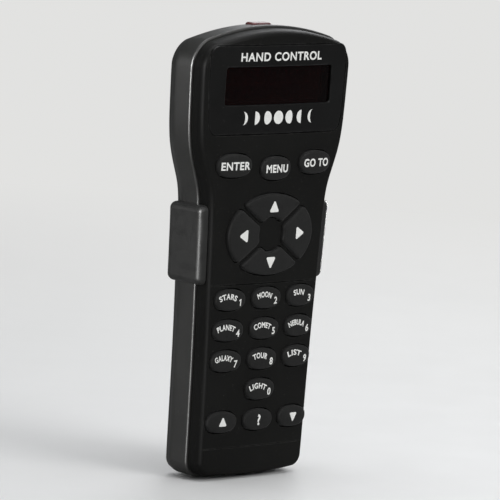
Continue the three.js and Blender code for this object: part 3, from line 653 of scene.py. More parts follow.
def rubber(name, base, light, rough=(0.55, 0.75), grain=3600, bump=0.3, sheen=0.25, spec=0.4):
    """fine grain over soft unevenness, shinier where worn"""
    g = Graph(name)
    slow = g.noise(scale=120, detail=3, rough=0.5)
    fine = g.noise(scale=grain, detail=4, rough=0.65)
    worn = g.patches(scale=260, detail=4, rough=0.6, across=(0.45, 0.7))
    color = g.mix(g.ramp(slow, across=(0.35, 0.65)), base, scaled(base, 1.35))
    color = g.mix(g.ramp(fine, across=(0.5, 0.8), to=(0.0, 0.45)), color, light)
    rubbed = g.patches(scale=700, detail=3, rough=0.6, across=(0.35, 0.6), to=(0.0, 0.3))
    edge = g.math("MULTIPLY", g.edge(radius=0.0004), rubbed)
    color = g.mix(edge, color, scaled(light, 3))
    gloss = g.ramp(g.weighted(worn, fine, share=0.6), across=(0.2, 0.8), to=rough[::-1])
    normal = g.bump(fine, strength=bump, distance=0.00003)
    uneven = g.noise(scale=600, detail=3)
    normal = g.bump(uneven, strength=0.12, distance=0.00006, over=normal)
    return g.finish(g.principled(
        color, gloss, normal, Sheen_Weight=sheen, Specular_IOR_Level=spec, Sheen_Roughness=0.5))


def metal(name, base, rough=(0.22, 0.42), stretch=(1, 1, 0.05)):
    """streaked metal with darker blots"""
    g = Graph(name)
    streak = g.noise(scale=3000, detail=3, rough=0.6, stretch=stretch)
    blot = g.noise(scale=350, detail=4, rough=0.6)
    color = g.mix(g.ramp(blot, across=(0.4, 0.7)), base, scaled(base, 0.62))
    gloss = g.ramp(g.weighted(streak, blot, share=0.6), across=(0.3, 0.7), to=rough)
    normal = g.bump(streak, strength=0.2, distance=0.00002)
    return g.finish(g.principled(color, gloss, normal, Metallic=1.0))


def ink(name, base, fade):
    """printed legend: slightly uneven cover with rubbed spots"""
    g = Graph(name)
    rubbed = g.patches(scale=1900, detail=4, rough=0.7, across=(0.62, 0.74), to=(0.0, 0.55))
    tone = g.patches(scale=300, detail=2, across=(0.3, 0.7), to=(0.0, 0.35))
    color = g.mix(rubbed, g.mix(tone, base, fade), scaled(fade, 0.42))
    gloss = g.patches(scale=2400, detail=3, across=(0.3, 0.7), to=(0.38, 0.6))
    normal = g.bump(g.noise(scale=4200, detail=3), strength=0.2, distance=0.00001)
    return g.finish(g.principled(color, gloss, normal))


def smoked_lens():
    """tinted clear sheet with smears, more mirror-like at a slant"""
    g = Graph("lens_smoked")
    gloss = g.patches(scale=900, detail=4, rough=0.6, across=(0.35, 0.7), to=(0.05, 0.16))
    normal = g.bump(g.noise(scale=160, detail=3), strength=0.05, distance=0.00003)
    surface = g.principled((0.006, 0.003, 0.003), gloss, normal, Specular_IOR_Level=0.55)
    smear = g.patches(scale=210, detail=4, rough=0.65, distort=0.8, across=(0.4, 0.7))
    tint = g.mix(smear, (0.62, 0.16, 0.12), (0.48, 0.12, 0.09))
    clear = g.node("ShaderNodeBsdfTransparent", {"Color": tint}).outputs[0]
    slant = g.node("ShaderNodeLayerWeight", {"Blend": 0.28}).outputs["Facing"]
    return g.finish(g.mix_shader(g.ramp(slant, across=(0.0, 1.0), to=(0.2, 0.9)), clear, surface))


def display_film(name, tones, tone_scale, rough, grain, bump):
    g = Graph(name)
    color = g.mix(g.patches(scale=tone_scale, detail=3, across=(0.3, 0.7)), *tones)
    gloss = g.patches(scale=1400, detail=3, across=(0.3, 0.7), to=rough)
    normal = g.bump(g.noise(scale=grain, detail=2), strength=bump, distance=0.00002)
    return g.finish(g.principled(color, gloss, normal))


def red_lamp():
    g = Graph("lamp_red")
    patch = g.patches(scale=300, detail=4, across=(0.35, 0.65))
    color = g.mix(patch, (0.16, 0.006, 0.005), (0.09, 0.004, 0.004))
    gloss = g.patches(scale=1500, detail=3, across=(0.3, 0.7), to=(0.3, 0.42))
    normal = g.bump(g.voronoi(scale=900), strength=0.15, distance=0.00004)
    return g.finish(g.principled(
        color, gloss, normal, Transmission_Weight=0.3, Coat_Weight=0.1))


def solder_mask():
    """green board with a raised network of cells"""
    g = Graph("solder_mask")
    cells = g.ramp(g.voronoi(scale=420, feature="DISTANCE_TO_EDGE"), across=(0.03, 0.06))
    color = g.mix(cells, (0.02, 0.12, 0.045), (0.008, 0.05, 0.02))
    gloss = g.patches(scale=900, detail=3, across=(0.3, 0.7), to=(0.25, 0.45))
    return g.finish(g.principled(color, gloss, g.bump(cells, strength=0.3, distance=0.00003)))


MATERIALS = {
    "shell": plastic("shell_plastic", base=(0.0062, 0.0062, 0.0057), light=(0.013, 0.013, 0.012),
                     rough=(0.38, 0.52), bump=0.3, spec=0.12),
    "rear": plastic("rear_plastic", base=(0.021, 0.021, 0.0195), light=(0.037, 0.037, 0.0346),
                    rough=(0.31, 0.43), bump=0.32, spec=0.5),
    "bezel": plastic("bezel_plastic", base=(0.0048, 0.0048, 0.0047),
                     light=(0.0095, 0.0095, 0.009), rough=(0.26, 0.4), grain=3400, bump=0.14,
                     spec=0.24),
    "key": rubber("key_rubber", base=(0.006, 0.006, 0.0056), light=(0.013, 0.013, 0.012),
                  sheen=0.08, spec=0.24),
    "grip": rubber("grip_rubber", base=(0.0125, 0.0126, 0.0118), light=(0.0235, 0.0235, 0.022),
                   rough=(0.38, 0.52), grain=2200, bump=0.4, sheen=0.06, spec=0.34),
    "mat": rubber("silicone_mat", base=(0.05, 0.05, 0.048), light=(0.08, 0.08, 0.078)),
    "ink": ink("legend_ink", base=(0.86, 0.86, 0.83), fade=(0.72, 0.72, 0.69)),
    "grey": ink("label_ink", base=(0.03, 0.03, 0.03), fade=(0.06, 0.06, 0.058)),
    "lens": smoked_lens(),
    "lcd": display_film("lcd_film", tones=((0.095, 0.026, 0.018), (0.066, 0.019, 0.013)),
                        tone_scale=60, rough=(0.12, 0.3), grain=2600, bump=0.08),
    "cells": display_film("lcd_cells", tones=((0.028, 0.008, 0.006), (0.04, 0.011, 0.008)),
                          tone_scale=400, rough=(0.2, 0.35), grain=3000, bump=0.06),
    "lamp": red_lamp(),
    "board": solder_mask(),
    "tin": metal("tin_plate", base=(0.62, 0.62, 0.6)),
    "screw": metal("screw_steel", base=(0.5, 0.5, 0.49), stretch=(1, 0.08, 1)),
    "contact": metal("contact_gold", base=(0.86, 0.6, 0.2), rough=(0.14, 0.28)),
    "label": plastic("label_film", base=(0.36, 0.36, 0.352), light=(0.46, 0.46, 0.45),
                     rough=(0.3, 0.44), grain=3000, bump=0.12, wear=0.1, spec=0.5, dust=0.03),
    "jack": plastic("socket_plastic", base=(0.010, 0.010, 0.010), light=(0.02, 0.02, 0.02),
                    rough=(0.3, 0.45), grain=3200, bump=0.15),
    "chip": plastic("chip_epoxy", base=(0.012, 0.012, 0.012), light=(0.022, 0.022, 0.022),
                    rough=(0.5, 0.65)),
    "film": plastic("white_film", base=(0.5, 0.49, 0.45), light=(0.6, 0.59, 0.55),
                    rough=(0.45, 0.6), bump=0.1, wear=0.1, dust=0.02),
}


def dress(ob, material, body="case", replaces=None):
    ob.data.materials.clear()
    ob.data.materials.append(MATERIALS[material])
    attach(ob, body)
    if replaces:
        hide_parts(replaces)
    return ob


# ---------------------------------------------------------------- front shell
# edge of the face as (further inset, depth below the crown), a cubic curve's control points
FACE_EDGE = ((2.0, 0.0), (1.2, 0.0), (0.55, 0.95), (0.35, 1.9))
GROOVES = ((12.0, 27.0), (72.4, 29.0))  # z, half length


def front_rings(grow=0.0, last=SPLIT_D - SHELL_GAP - 0.3):
    """rolled edge of the face, then a side that leans out to depth last"""
    rings = [on_crown(inset(OUTLINE, FRONT_INSET + o - grow), depth - grow)
             for o, depth in bezier(FACE_EDGE, 12)]
    start, end = rings[-1], at(inset(OUTLINE, FRONT_INSET - grow), last)
    return rings + [start + (end - start) * k / 4 for k in range(1, 5)]


def bezel_outline(grow=0.0):
    r = BEZEL_CORNER + grow

    def side(z):
        return half_width(z) - BEZEL_MARGIN + grow

    def corner(x, z, start):
        angles = [math.radians(start + 90 * i / 12) for i in range(13)]
        return [(x - r + r * math.cos(a), z + r * math.sin(a)) for a in angles]

    right = corner(side(127), BEZEL_Z0 - grow + r, -90)
    right += [(side(z), z) for z in np.linspace(133, 150, 12)]
    right += corner(side(155), BEZEL_Z1 + grow - r, 0)
    return np.array(right + [(-x, z) for x, z in right[::-1]])


def jack_cutter():
    return box("jack_hole", -JACK_X - FIT, JACK_X + FIT, JACK_D0 - FIT, JACK_D1 + FIT, -4, 6)


def front_shell():
    rings = front_rings()
    rings.append(at(inset(OUTLINE, FRONT_INSET + 0.25), SPLIT_D - SHELL_GAP))
    shell = loft("front_case", rings, front=crown_face(0))
    wall, chamfer = FRONT_INSET + WALL, 0.6
    cutters = [loft("cavity", [
        on_crown(inset(OUTLINE, wall + chamfer), FACE_WALL),
        on_crown(inset(OUTLINE, wall), FACE_WALL + chamfer),
        at(inset(OUTLINE, wall), SPLIT_D + 1),
    ], front=crown_face(FACE_WALL), columns=12)]
    for name, key in KEYS.items():
        cutters.append(opening("hole_" + name, key.hole, rim=0.32, deep=4.5))
    # recess for the display surround, with a small gap round it
    gap = 0.2
    recess = symmetric(bezel_outline(gap))
    cutters.append(crown_slab("recess", recess, -2.0, BEZEL_T + gap, columns=30))
    cutters.append(prism("lens_hole", grown_window(1.15, 1.2), -3, 9))
    cutters.append(jack_cutter())
    # two fine grooves across the face
    half, deep = 0.16, 0.2
    for z, x in GROOVES:
        p = densify(rounded(-x, x, z - half, z + half, 0.15, 4), 2.0)
        cutters.append(loft("groove", [on_crown(p, -1.0), on_crown(p, deep)]))
    boolean(shell, cutters)
    smooth(shell, 32)
    return dress(shell, "shell", replaces="front_shell")


# ---------------------------------------------------------------- rear shell
def back_roll(angle, grow=0.0, push=0.0):
    """ring of the quarter ellipse that rolls the side into the flat back"""
    outline = inset(OUTLINE, ROLL_IN + ROLL_WIDE * (1 - math.cos(angle)) - grow)
    return at(outline, ROLL_D + (DEPTH - ROLL_D) * math.sin(angle) + push)


def label_outline(grow=0.0):
    return rounded(-LABEL_X - grow, LABEL_X + grow, LABEL_Z0 - grow, LABEL_Z1 + grow,
                   LABEL_R + grow)


def rear_shell():
    rings = [at(inset(OUTLINE, 0.8 * o), SPLIT_D + 0.85 * down) for o, down in quarter_roll(7)]
    for d in [*np.linspace(SPLIT_D + 1.4, 14.5, 6), *np.linspace(15.2, ROLL_D, 5)]:
        rings.append(at(inset(OUTLINE, rear_profile(d)), d))
    rings += [back_roll(math.pi / 2 * i / 10) for i in range(1, 11)]
    shell = loft("rear_case", rings)
    # inset, depth
    hollow = ((1.9, SPLIT_D - 1), (1.9, 14.5), (2.6, 16.6), (4.6, DEPTH - 1.8))
    boolean(shell, [loft("rear_cavity", [at(inset(OUTLINE, o), d) for o, d in hollow])])
    tubes = [prism("tube", circle(x, z, 3.3, 32), 10.6, DEPTH - 1)
             for x, z in CASE_SCREWS.values()]
    boolean(shell, tubes, "UNION")

    lamp_hole = rounded(-LAMP_X - FIT, LAMP_X + FIT, LAMP_D0 - FIT, LAMP_D1 + FIT, 1.8)
    cutters = [
        jack_cutter(),
        loft_up("lamp_hole", lamp_hole, [(158.0, 0.0), (172.0, 0.0)]),
        prism("label_recess", label_outline(FIT), DEPTH - 0.6, DEPTH + 3),
    ]
    # radius, depth
    counterbore = (
        (2.6, 13.4), (2.6, DEPTH - 0.4), (2.72, DEPTH - 0.12), (3.0, DEPTH + 0.02),
        (3.0, DEPTH + 2),
    )
    for x, z in CASE_SCREWS.values():
        cutters.append(prism("screw_hole", circle(x, z, 1.55, 24), 10, 14))
        rings = [at(circle(x, z, r, 40), d) for r, d in counterbore]
        cutters.append(loft("counterbore", rings))
    boolean(shell, cutters)
    smooth(shell, 32)
    return dress(shell, "rear", replaces="rear_shell")


# ---------------------------------------------------------------- display
def display_surround():
    bezel = crown_slab("display_surround", symmetric(bezel_outline()), 0.02, BEZEL_T, edge=0.3)
    window = densify(grown_window(0.0, 1.2), 2.5)
    boolean(bezel, [opening("window_cut", window, rim=0.45, deep=4.0)])
    smooth(bezel, 32)
    dress(bezel, "bezel", replaces="display_bezel")


def display_window():
    lens = crown_slab("display_window", symmetric(grown_window(0.9, 1.0)),
                      BEZEL_T + 0.15, BEZEL_T + 1.7, edge=0.2, columns=40)
    smooth(lens, 32)
    dress(lens, "lens", replaces="display_lens")


def character_cells():
    """two rows of sixteen cells of 5 by 8 dots, on the panel behind the window"""
    pitch_x, pitch_z = 3.2, 5.6
    corner_x, corner_z = 1.35, 2.35  # first dot, left of and below the cell's centre
    dot_pitch_x, dot_pitch_z = 0.55, 0.59
    dot_x, dot_z = 0.46, 0.5
    depths = (6.03, 6.085)
    verts, faces = [], []
    for row in range(2):
        for col in range(16):
            cx = (col - 7.5) * pitch_x
            cz = (WIN_Z0 + WIN_Z1) / 2 + (0.5 - row) * pitch_z
            for px in range(5):
                for pz in range(8):
                    x = cx - corner_x + px * dot_pitch_x
                    z = cz - corner_z + pz * dot_pitch_z
                    b = len(verts)
                    for y in map(Y, depths):
                        verts += [(x, y, z), (x + dot_x, y, z)]
                        verts += [(x + dot_x, y, z + dot_z), (x, y, z + dot_z)]
                    faces += [(b, b + 1, b + 2, b + 3), (b + 4, b + 7, b + 6, b + 5)]
                    for i in range(4):
                        j = (i + 1) % 4
                        faces.append((b + i, b + 4 + i, b + 4 + j, b + j))
    dress(mesh_object("lcd_character_cells", verts, faces), "cells")


# ---------------------------------------------------------------- keys
def key_cap(name, key):
    """domed top with a rolled edge, a flange under the face and a plunger down to the board"""
    outline, spine = key.outline, key.spine
    under = FACE_WALL + 0.15
    rings = []
    rim = inset(outline, KEY_EDGE)
    nearest = np.array([spine[np.argmin(key.to_spine(*p))] for p in rim])
    for share in (0.86, 0.7, 0.5, 0.3, 0.14):
        p = rim + (nearest - rim) * share
        y = [Y(crown(x) + key.top(x, z)) for x, z in p]
        rings.append(np.stack([p[:, 0], y, p[:, 1]], 1))
    for o, down in quarter_roll(7):
        rings.append(on_crown(inset(outline, KEY_EDGE * o), key.dome - KEY_RISE + 0.85 * down))
    rings.append(on_crown(outline, under - 0.1))
    # the flange stays clear of the front shell's side walls
    flange = inset(outline, -FLANGE)
    limit = np.array([half_width(z) - FRONT_INSET - WALL - 1.0 for z in flange[:, 1]])
    flange[:, 0] = np.sign(flange[:, 0]) * np.minimum(np.abs(flange[:, 0]), limit)
    rings.append(on_crown(inset(outline, -0.05), under))
    rings.append(on_crown(flange, under))
    rings.append(on_crown(flange, under + FLANGE_T))
    cap = loft(name + "_rubber", rings)
    plunger = prism("plunger", circle(key.x, key.z, PLUNGER_R, 28),
                    under + FLANGE_T / 2 + crown(key.x), BOARD_D - KEY_TRAVEL - 0.1)
    boolean(cap, [plunger], "UNION")
    smooth(cap, 40)
    return dress(cap, "key", body=name + "_cap", replaces=name)


# ---------------------------------------------------------------- grips
GRIP_Z0, GRIP_Z1, GRIP_X, GRIP_PROUD, GRIP_CORNER = 72.6, 101.8, 24.0, 2.8, 2.6


def grip_outline(side, amount):
    """pad outline inset by amount; side is -1 for -X and 1 for +X"""
    z0, z1 = GRIP_Z0 + amount, GRIP_Z1 - amount
    r = max(GRIP_CORNER - amount, 0.5)

    def outer(z):
        return half_width(z) + GRIP_PROUD - amount

    def corner(z, a0, a1):
        return [(outer(z) - r + r * math.cos(a), z + r * math.sin(a))
                for a in np.linspace(a0, a1, 12)]

    points = [(GRIP_X, z0)] + corner(z0 + r, -math.pi / 2, 0)
    points += [(outer(z), z) for z in np.linspace(77, 97, 14)]
    points += corner(z1 - r, 0, math.pi / 2) + [(GRIP_X, z1)]
    return np.array([(x * side, z) for x, z in points])


def grip(side, name):
    """pad rolled at front and back, with the case cut out of it"""
    # depth, inset
    profile = [(2.7 + 2.0 * (1 - math.cos(t)), 2.0 * (1 - math.sin(t)))
               for t in np.linspace(0, math.pi / 2, 11)]
    profile += [(d, 0.0) for d in (6.5, 9.5, 12.5, 15.5)]
    profile += [(17.0 + 2.7 * math.sin(t), 2.3 * (1 - math.cos(t)))
                for t in np.linspace(0, math.pi / 2, 9)]
    pad = loft(name + "_pad", [at(grip_outline(side, o), d) for d, o in profile])
    grow = 0.3
    front_cut = loft("front_cut", front_rings(grow, SPLIT_D + 0.2), front=crown_face(-grow),
                     columns=12)
    rings = [at(inset(OUTLINE, -grow), SPLIT_D - 0.4)]
    for d in np.linspace(SPLIT_D + 1, ROLL_D, 8):
        rings.append(at(inset(OUTLINE, rear_profile(d) - grow), d))
    # only the last ring is pushed out past the back
    for t in np.linspace(0.15, math.pi / 2, 9):
        rings.append(back_roll(t, grow, push=grow if t > 1.5 else 0))
    rear_cut = loft("rear_cut", rings)
    boolean(pad, [front_cut])
    boolean(pad, [rear_cut, box("middle_cut", -27, 27, -1, 24, 60, 110)])
    smooth(pad, 35)
    return dress(pad, "grip", replaces=name)


# ---------------------------------------------------------------- screws, label and lamp
# radius, depth
SCREW_PROFILE = (
    (1.1, 5.2), (1.1, 13.5), (2.3, 13.5), (2.3, 14.2), (2.22, 14.6), (1.98, 14.95), (1.5, 15.2),
    (0.8, 15.3),
)
# z, start in x, half height
LABEL_BARS = (
    (118.6, -17.5, 0.7), (113.4, -6.0, 0.35), (109.6, -12.0, 0.35), (105.8, -2.0, 0.35),
    (98.2, 3.0, 0.35),
)
BAR_END = 17.5


def case_screw(place, x, z):
    """shank and domed head with a cross recess"""
    screw = loft("screw_" + place, [at(circle(x, z, r, 40), d) for r, d in SCREW_PROFILE])
    narrow, wide, d0, d1 = 0.28, 1.3, 14.35, 16
    cross = box("cross_up", x - narrow, x + narrow, d0, d1, z - wide, z + wide)
    arm = box("cross_over", x - wide, x + wide, d0, d1, z - narrow, z + narrow)
    boolean(cross, [arm], "UNION")
    boolean(screw, [cross])
    smooth(screw, 30)
    dress(screw, "screw", replaces="case_screw_" + place)


def rear_label():
    stations = ((0.0, DEPTH - 0.55), (0.0, DEPTH - 0.2), (-0.1, DEPTH - 0.1))  # growth, depth
    plate = loft("label_plate", [at(label_outline(grow), d) for grow, d in stations])
    smooth(plate, 40)
    dress(plate, "label", replaces="rear_label")
    for i, (z, x, half) in enumerate(LABEL_BARS):
        outline = rounded(x, BAR_END, z - half, z + half, 0.2, 3)
        bar = prism(f"label_bar_{i}", outline, DEPTH - 0.12, DEPTH - 0.06)
        dress(bar, "grey")


def lamp_window():
    """lens in the top end, its outer edge rolled"""
    # z, inset
    stations = [(163.3, 0.5), (163.45, 0.15), (163.8, 0.0), (165.4, 0.0), (166.3, 0.0)]
    stations += [(166.3 + 0.75 * math.sin(t), 1.3 * (1 - math.cos(t)))
                 for t in np.linspace(0.25, math.pi / 2, 7)]
    lamp = loft_up("lamp_window", rounded(-LAMP_X, LAMP_X, LAMP_D0, LAMP_D1, 1.6), stations)
    smooth(lamp, 40)
    dress(lamp, "lamp", replaces="lamp_lens")


# ---------------------------------------------------------------- flat shapes for the legends
# a shape is an array of (x, z) points and a list of faces
def loop_edges(face):
    return zip(face, face[1:] + face[:1])


def embolden(points, faces, width):
    """moves outline points outwards, so strokes thicken and counters shrink evenly"""
    edges = dict.fromkeys(e for f in faces for e in loop_edges(f))
    area = 0.0
    for f in faces:
        for a, b in loop_edges(f):
            area += points[a][0] * points[b][1] - points[b][0] * points[a][1]
    sign = 1.0 if area > 0 else -1.0
    normals = {}
    for a, b in edges:
        if (b, a) in edges:
            continue
        along = points[b] - points[a]
        length = float(np.hypot(*along))
        if length < 1e-9:
            continue
        normal = np.array([along[1], -along[0]]) / length * sign
        for i in (a, b):
            normals.setdefault(i, []).append(normal)
    out = points.copy()
    for i, group in normals.items():
        mean = np.sum(group, 0)
        length = float(np.hypot(*mean))
        if length < 1e-6:
            continue
        mean = mean / length
        out[i] = points[i] + mean * width / max(float(np.dot(mean, group[0])), 0.6)
    return out


def text_shape(body, height, bold, spacing=1.0):
    """text in the built-in face, centred; bold is added at font size 10"""
    curve = bpy.data.curves.new("text", "FONT")
    curve.body = body
    curve.size = 10
    curve.resolution_u = 6
    curve.space_character = spacing
    curve.align_x = "CENTER"
    ob = bpy.data.objects.new("text", curve)
    bpy.context.scene.collection.objects.link(ob)
    mesh = baked(ob)
    tidy(mesh, 1e-5)
    points = np.array([tuple(v.co) for v in mesh.vertices])[:, :2]
    faces = [tuple(p.vertices) for p in mesh.polygons]
    drop(ob)
    capital = 7.0  # capital height of the face at this size
    points = embolden(points, faces, bold) * (height / capital)
    points[:, 0] -= (points[:, 0].min() + points[:, 0].max()) / 2
    points[:, 1] -= height / 2
    return points, faces


def fit_width(shape, width):
    points, faces = shape
    return points * (width / (points[:, 0].max() - points[:, 0].min()), 1.0), faces


def arch(shape, radius):
    points, faces = shape
    a = points[:, 0] / radius
    r = radius + points[:, 1]
    return np.stack([r * np.sin(a), r * np.cos(a) - radius], 1), faces


def triangle(size, degrees):
    """triangle with softened corners, pointing along an angle"""
    points = []
    for i in range(3):
        c = math.radians(degrees) + i * 2 * math.pi / 3
        cx, cz = size * 0.8 * math.cos(c), size * 0.8 * math.sin(c)
        for j in range(5):
            t = c - math.pi / 3 + 2 * math.pi / 3 * j / 4
            points.append((cx + size * 0.2 * math.cos(t), cz + size * 0.2 * math.sin(t)))
    return np.array(points), [tuple(range(len(points)))]


def moon(r, bend, n=36):
    """lit part of a moon; bend, -1 to 1, is the inner edge's, None gives the full disc"""
    if bend is None:
        angles = np.linspace(0, 2 * math.pi, n, endpoint=False)
        return np.array([(r * math.cos(t), r * math.sin(t)) for t in angles]), [tuple(range(n))]
    angles = np.linspace(-math.pi / 2, math.pi / 2, n)
    limb = [(r * math.cos(t), r * math.sin(t)) for t in angles]
    angles = np.linspace(math.pi / 2, -math.pi / 2, n)[1:-1]
    points = np.array(limb + [(bend * r * math.cos(t), r * math.sin(t)) for t in angles])
    m = len(points)
    # strips across; the first and last close to triangles
    strips = [(i, i + 1, m - i - 1, (m - i) % m) for i in range(n - 1)]
    return points, [tuple(dict.fromkeys(s)) for s in strips]


# outline of the numeral one at height 1; its flag keeps it from reading as a letter
ONE = (
    (0.03, 0.0), (0.23, 0.0), (0.23, 1.0), (0.10, 1.0), (-0.17, 0.86), (-0.17, 0.68),
    (0.03, 0.78),
)


def numeral(digit, height, bold):
    if digit != 1:
        return text_shape(str(digit), height, bold)
    return np.array(ONE) * height - (0.0, height / 2), [tuple(range(len(ONE)))]


# ---------------------------------------------------------------- legends
def legend(name, shape, x, z, surface, body):
    """moves a shape to x, z and drapes it on a surface as a thin closed skin"""
    thick = 0.05
    points, faces = shape[0] + (x, z), shape[1]
    n = len(points)
    verts = [(px, surface(px, pz) + d, pz) for d in (-thick, thick) for px, pz in points]
    skin = list(faces) + [tuple(i + n for i in f[::-1]) for f in faces]
    edges = dict.fromkeys(e for f in faces for e in loop_edges(f))
    skin += [(a, a + n, b + n, b) for a, b in edges if (b, a) not in edges]
    dress(mesh_object(name, verts, skin), "ink", body=body)


def face_legend(name, shape, x, z):
    legend(name, shape, x, z, lambda px, pz: Y(crown(px) + 0.02), "case")


def key_legend(name, key_name, shape, dx=0, dz=0):
    key = KEYS[key_name]
    legend(name, shape, key.x + dx, key.z + dz, lambda px, pz: Y(crown(px) + key.top(px, pz)),
           key_name + "_cap")


# bend and side of the lit part, 1 for +X
MOONS = ((0.45, 1), (0.0, 1), (-0.55, 1), (None, 1), (-0.55, -1), (0.0, -1), (0.45, -1))
WORDS = {
    1: "STARS", 2: "MOON", 3: "SUN", 4: "PLANET", 5: "COMET", 6: "NEBULA", 7: "GALAXY",
    8: "TOUR", 9: "LIST", 0: "LIGHT",
}


def face_legends():
    title = text_shape("HAND CONTROL", height=3.0, bold=0.26, spacing=1.12)
    face_legend("title_line", fit_width(title, 43), 0, 156.0)
    pitch = 6.15
    for i, (bend, side) in enumerate(MOONS):
        points, faces = moon(2.45, bend)
        if side < 0:
            points, faces = points * (side, 1), [f[::-1] for f in faces]
        face_legend(f"moon_phase_{i}", (points, faces), (i - 3) * pitch, 133.6)


def key_legends():
    for name, _, _, _, _, word, width in FUNCTION_KEYS:
        shape = text_shape(word, height=2.8, bold=0.3, spacing=1.1)
        key_legend("mark_" + name, name, fit_width(shape, width))
    for side, (_, _, angle, dz) in ARROWS.items():
        key_legend("mark_arrow_" + side, "key_arrow_" + side, triangle(2.5, angle), dz=dz)
    for digit, word in WORDS.items():
        name = f"key_{digit}"
        shape = text_shape(word, height=1.95, bold=0.3, spacing=1.1)
        shape = arch(fit_width(shape, min(1.75 * len(word) + 0.6, 9.0)), radius=9.0)
        key_legend("word_" + name, name, shape, dx=-1.75, dz=1.5)
        shape = numeral(digit, height=2.5, bold=0.26)
        key_legend("digit_" + name, name, shape, dx=4.3, dz=-0.95)
    for way, angle, dz in (("up", 90, -0.2), ("down", -90, 0.2)):
        key_legend("mark_scroll_" + way, "key_scroll_" + way, triangle(2.0, angle), dz=dz)
    key_legend("mark_help", "key_help", text_shape("?", height=3.7, bold=0.3))


# ---------------------------------------------------------------- frame pieces that are kept
# name: material, edge bevel
KEPT = {
    "cord_socket": ("jack", 0.18), "lcd_frame": ("tin", 0.15), "lcd_glass": ("lcd", 0.08),
    "backlight_panel": ("film", 0.1), "lcd_board": ("board", 0.08),
    "circuit_board": ("board", 0.1), "keypad_mat": ("mat", 0.12), "display_ribbon": ("film", 0.0),
    "lcd_connector": ("jack", 0.15), "board_connector": ("jack", 0.15),
    "processor_chip": ("chip", 0.1), "memory_chip": ("chip", 0.1),
    "voltage_regulator": ("chip", 0.1), "crystal": ("tin", 0.25), "capacitor": ("tin", 0.2),
    "lamp_led": ("lamp", 0.1),
}
KEPT |= {f"socket_contact_{i}": ("contact", 0.05) for i in range(1, 5)}
KEPT |= {
    group + corner: ("screw", 0.1)
    for group in ("board_screw_", "lcd_screw_")
    for corner in ("lower_left", "lower_right", "upper_left", "upper_right")
}


def dress_kept_pieces():
    for name, (material, width) in KEPT.items():
        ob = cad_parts[name]
        ob.data.materials.clear()
        ob.data.materials.append(MATERIALS[material])
        if width:
            m = ob.modifiers.new("edge", "BEVEL")
            m.width = width * MM
            m.segments = 2
            m.limit_method = "ANGLE"
            m.angle_limit = math.radians(40)


# ---------------------------------------------------------------- stage, in metres
PAPER = (0.76, 0.76, 0.75)  # tone of the paper where it fades into the distance
CAMERA_TARGET = Vector((0.0, 0.0, 0.0833))
CAMERA_DISTANCE = 2.0
AZIMUTH, ELEVATION, TILT = math.radians(-47.2), math.radians(7.4), math.radians(4.2)
LIGHT_TARGET = (0, 0, 0.09)


def paper_material():
    """pale paper that fades into the backdrop's tone far off and is clear from below"""
    g = Graph("paper")
    tone = g.patches(scale=3, detail=3, across=(0.3, 0.7))
    color = g.mix(tone, (0.72, 0.72, 0.714), (0.76, 0.76, 0.753))
    gloss = g.patches(scale=40, detail=3, across=(0.3, 0.7), to=(0.55, 0.7))
    normal = g.bump(g.noise(scale=900, detail=3), strength=0.05, distance=0.0001)
    paper = g.principled(color, gloss, normal)
    ray = g.node("ShaderNodeLightPath").outputs
    # a dimmer floor in reflections, as with black cards round the object
    card = g.principled(color=(0.12, 0.12, 0.12), rough=0.9)
    paper = g.mix_shader(g.math("MULTIPLY", ray["Is Glossy Ray"], 0.8), paper, card)
    far = g.node("ShaderNodeEmission", {"Color": PAPER}).outputs[0]
    length = g.node("ShaderNodeVectorMath", {0: g.coords}, operation="LENGTH").outputs["Value"]
    fade = g.math("MULTIPLY", g.ramp(length, across=(0.12, 0.85)), ray["Is Camera Ray"])
    paper = g.mix_shader(fade, paper, far)
    below = g.node("ShaderNodeNewGeometry").outputs["Backfacing"]
    clear = g.node("ShaderNodeBsdfTransparent").outputs[0]
    return g.finish(g.mix_shader(below, paper, clear))


def floor():
    """round sheet of paper the handset stands on"""
    n = 96
    verts, faces = [(0.0, 0.0, 0.0)], []
    radii = (0.3, 1.0, 3.0, 14.0)
    for r in radii:
        angles = [2 * math.pi * i / n for i in range(n)]
        verts += [(r * math.cos(a), r * math.sin(a), 0.0) for a in angles]
    faces += [(0, 1 + i, 1 + (i + 1) % n) for i in range(n)]
    for k in range(len(radii) - 1):
        a, b = 1 + k * n, 1 + (k + 1) * n
        faces += [(a + i, b + i, b + (i + 1) % n, a + (i + 1) % n) for i in range(n)]
    mesh = bpy.data.meshes.new("studio_floor")
    mesh.from_pydata(verts, [], faces)
    ob = bpy.data.objects.new("studio_floor", mesh)
    bpy.context.scene.collection.objects.link(ob)
    mesh.materials.append(paper_material())


def camera():
    """long lens, in front and to the -X side, slightly above"""
    back = Vector((math.sin(AZIMUTH) * math.cos(ELEVATION),
                   -math.cos(AZIMUTH) * math.cos(ELEVATION), math.sin(ELEVATION)))
    data = bpy.data.cameras.new("camera")
    data.lens = 392
    data.sensor_width = 36
    data.clip_start = 0.01
    ob = bpy.data.objects.new("camera", data)
    bpy.context.scene.collection.objects.link(ob)
    ob.location = CAMERA_TARGET + back * CAMERA_DISTANCE
    turn = back.to_track_quat("Z", "Y").to_matrix()
    ob.rotation_euler = (turn @ Matrix.Rotation(TILT, 3, "Z")).to_euler()
    bpy.context.scene.camera = ob
    bpy.context.scene.view_settings.view_transform = "Standard"


def area(name, place, size, power, color):
    """rectangular light aimed at the handset"""
    light = bpy.data.lights.new(name, "AREA")
    light.energy = power
    light.color = color
    light.shape = "RECTANGLE"
    light.size, light.size_y = size
    ob = bpy.data.objects.new(name, light)
    ob.location = place
    aim = Vector(place) - Vector(LIGHT_TARGET)
    ob.rotation_euler = aim.to_track_quat("Z", "Y").to_euler()
    bpy.context.scene.collection.objects.link(ob)
    return ob


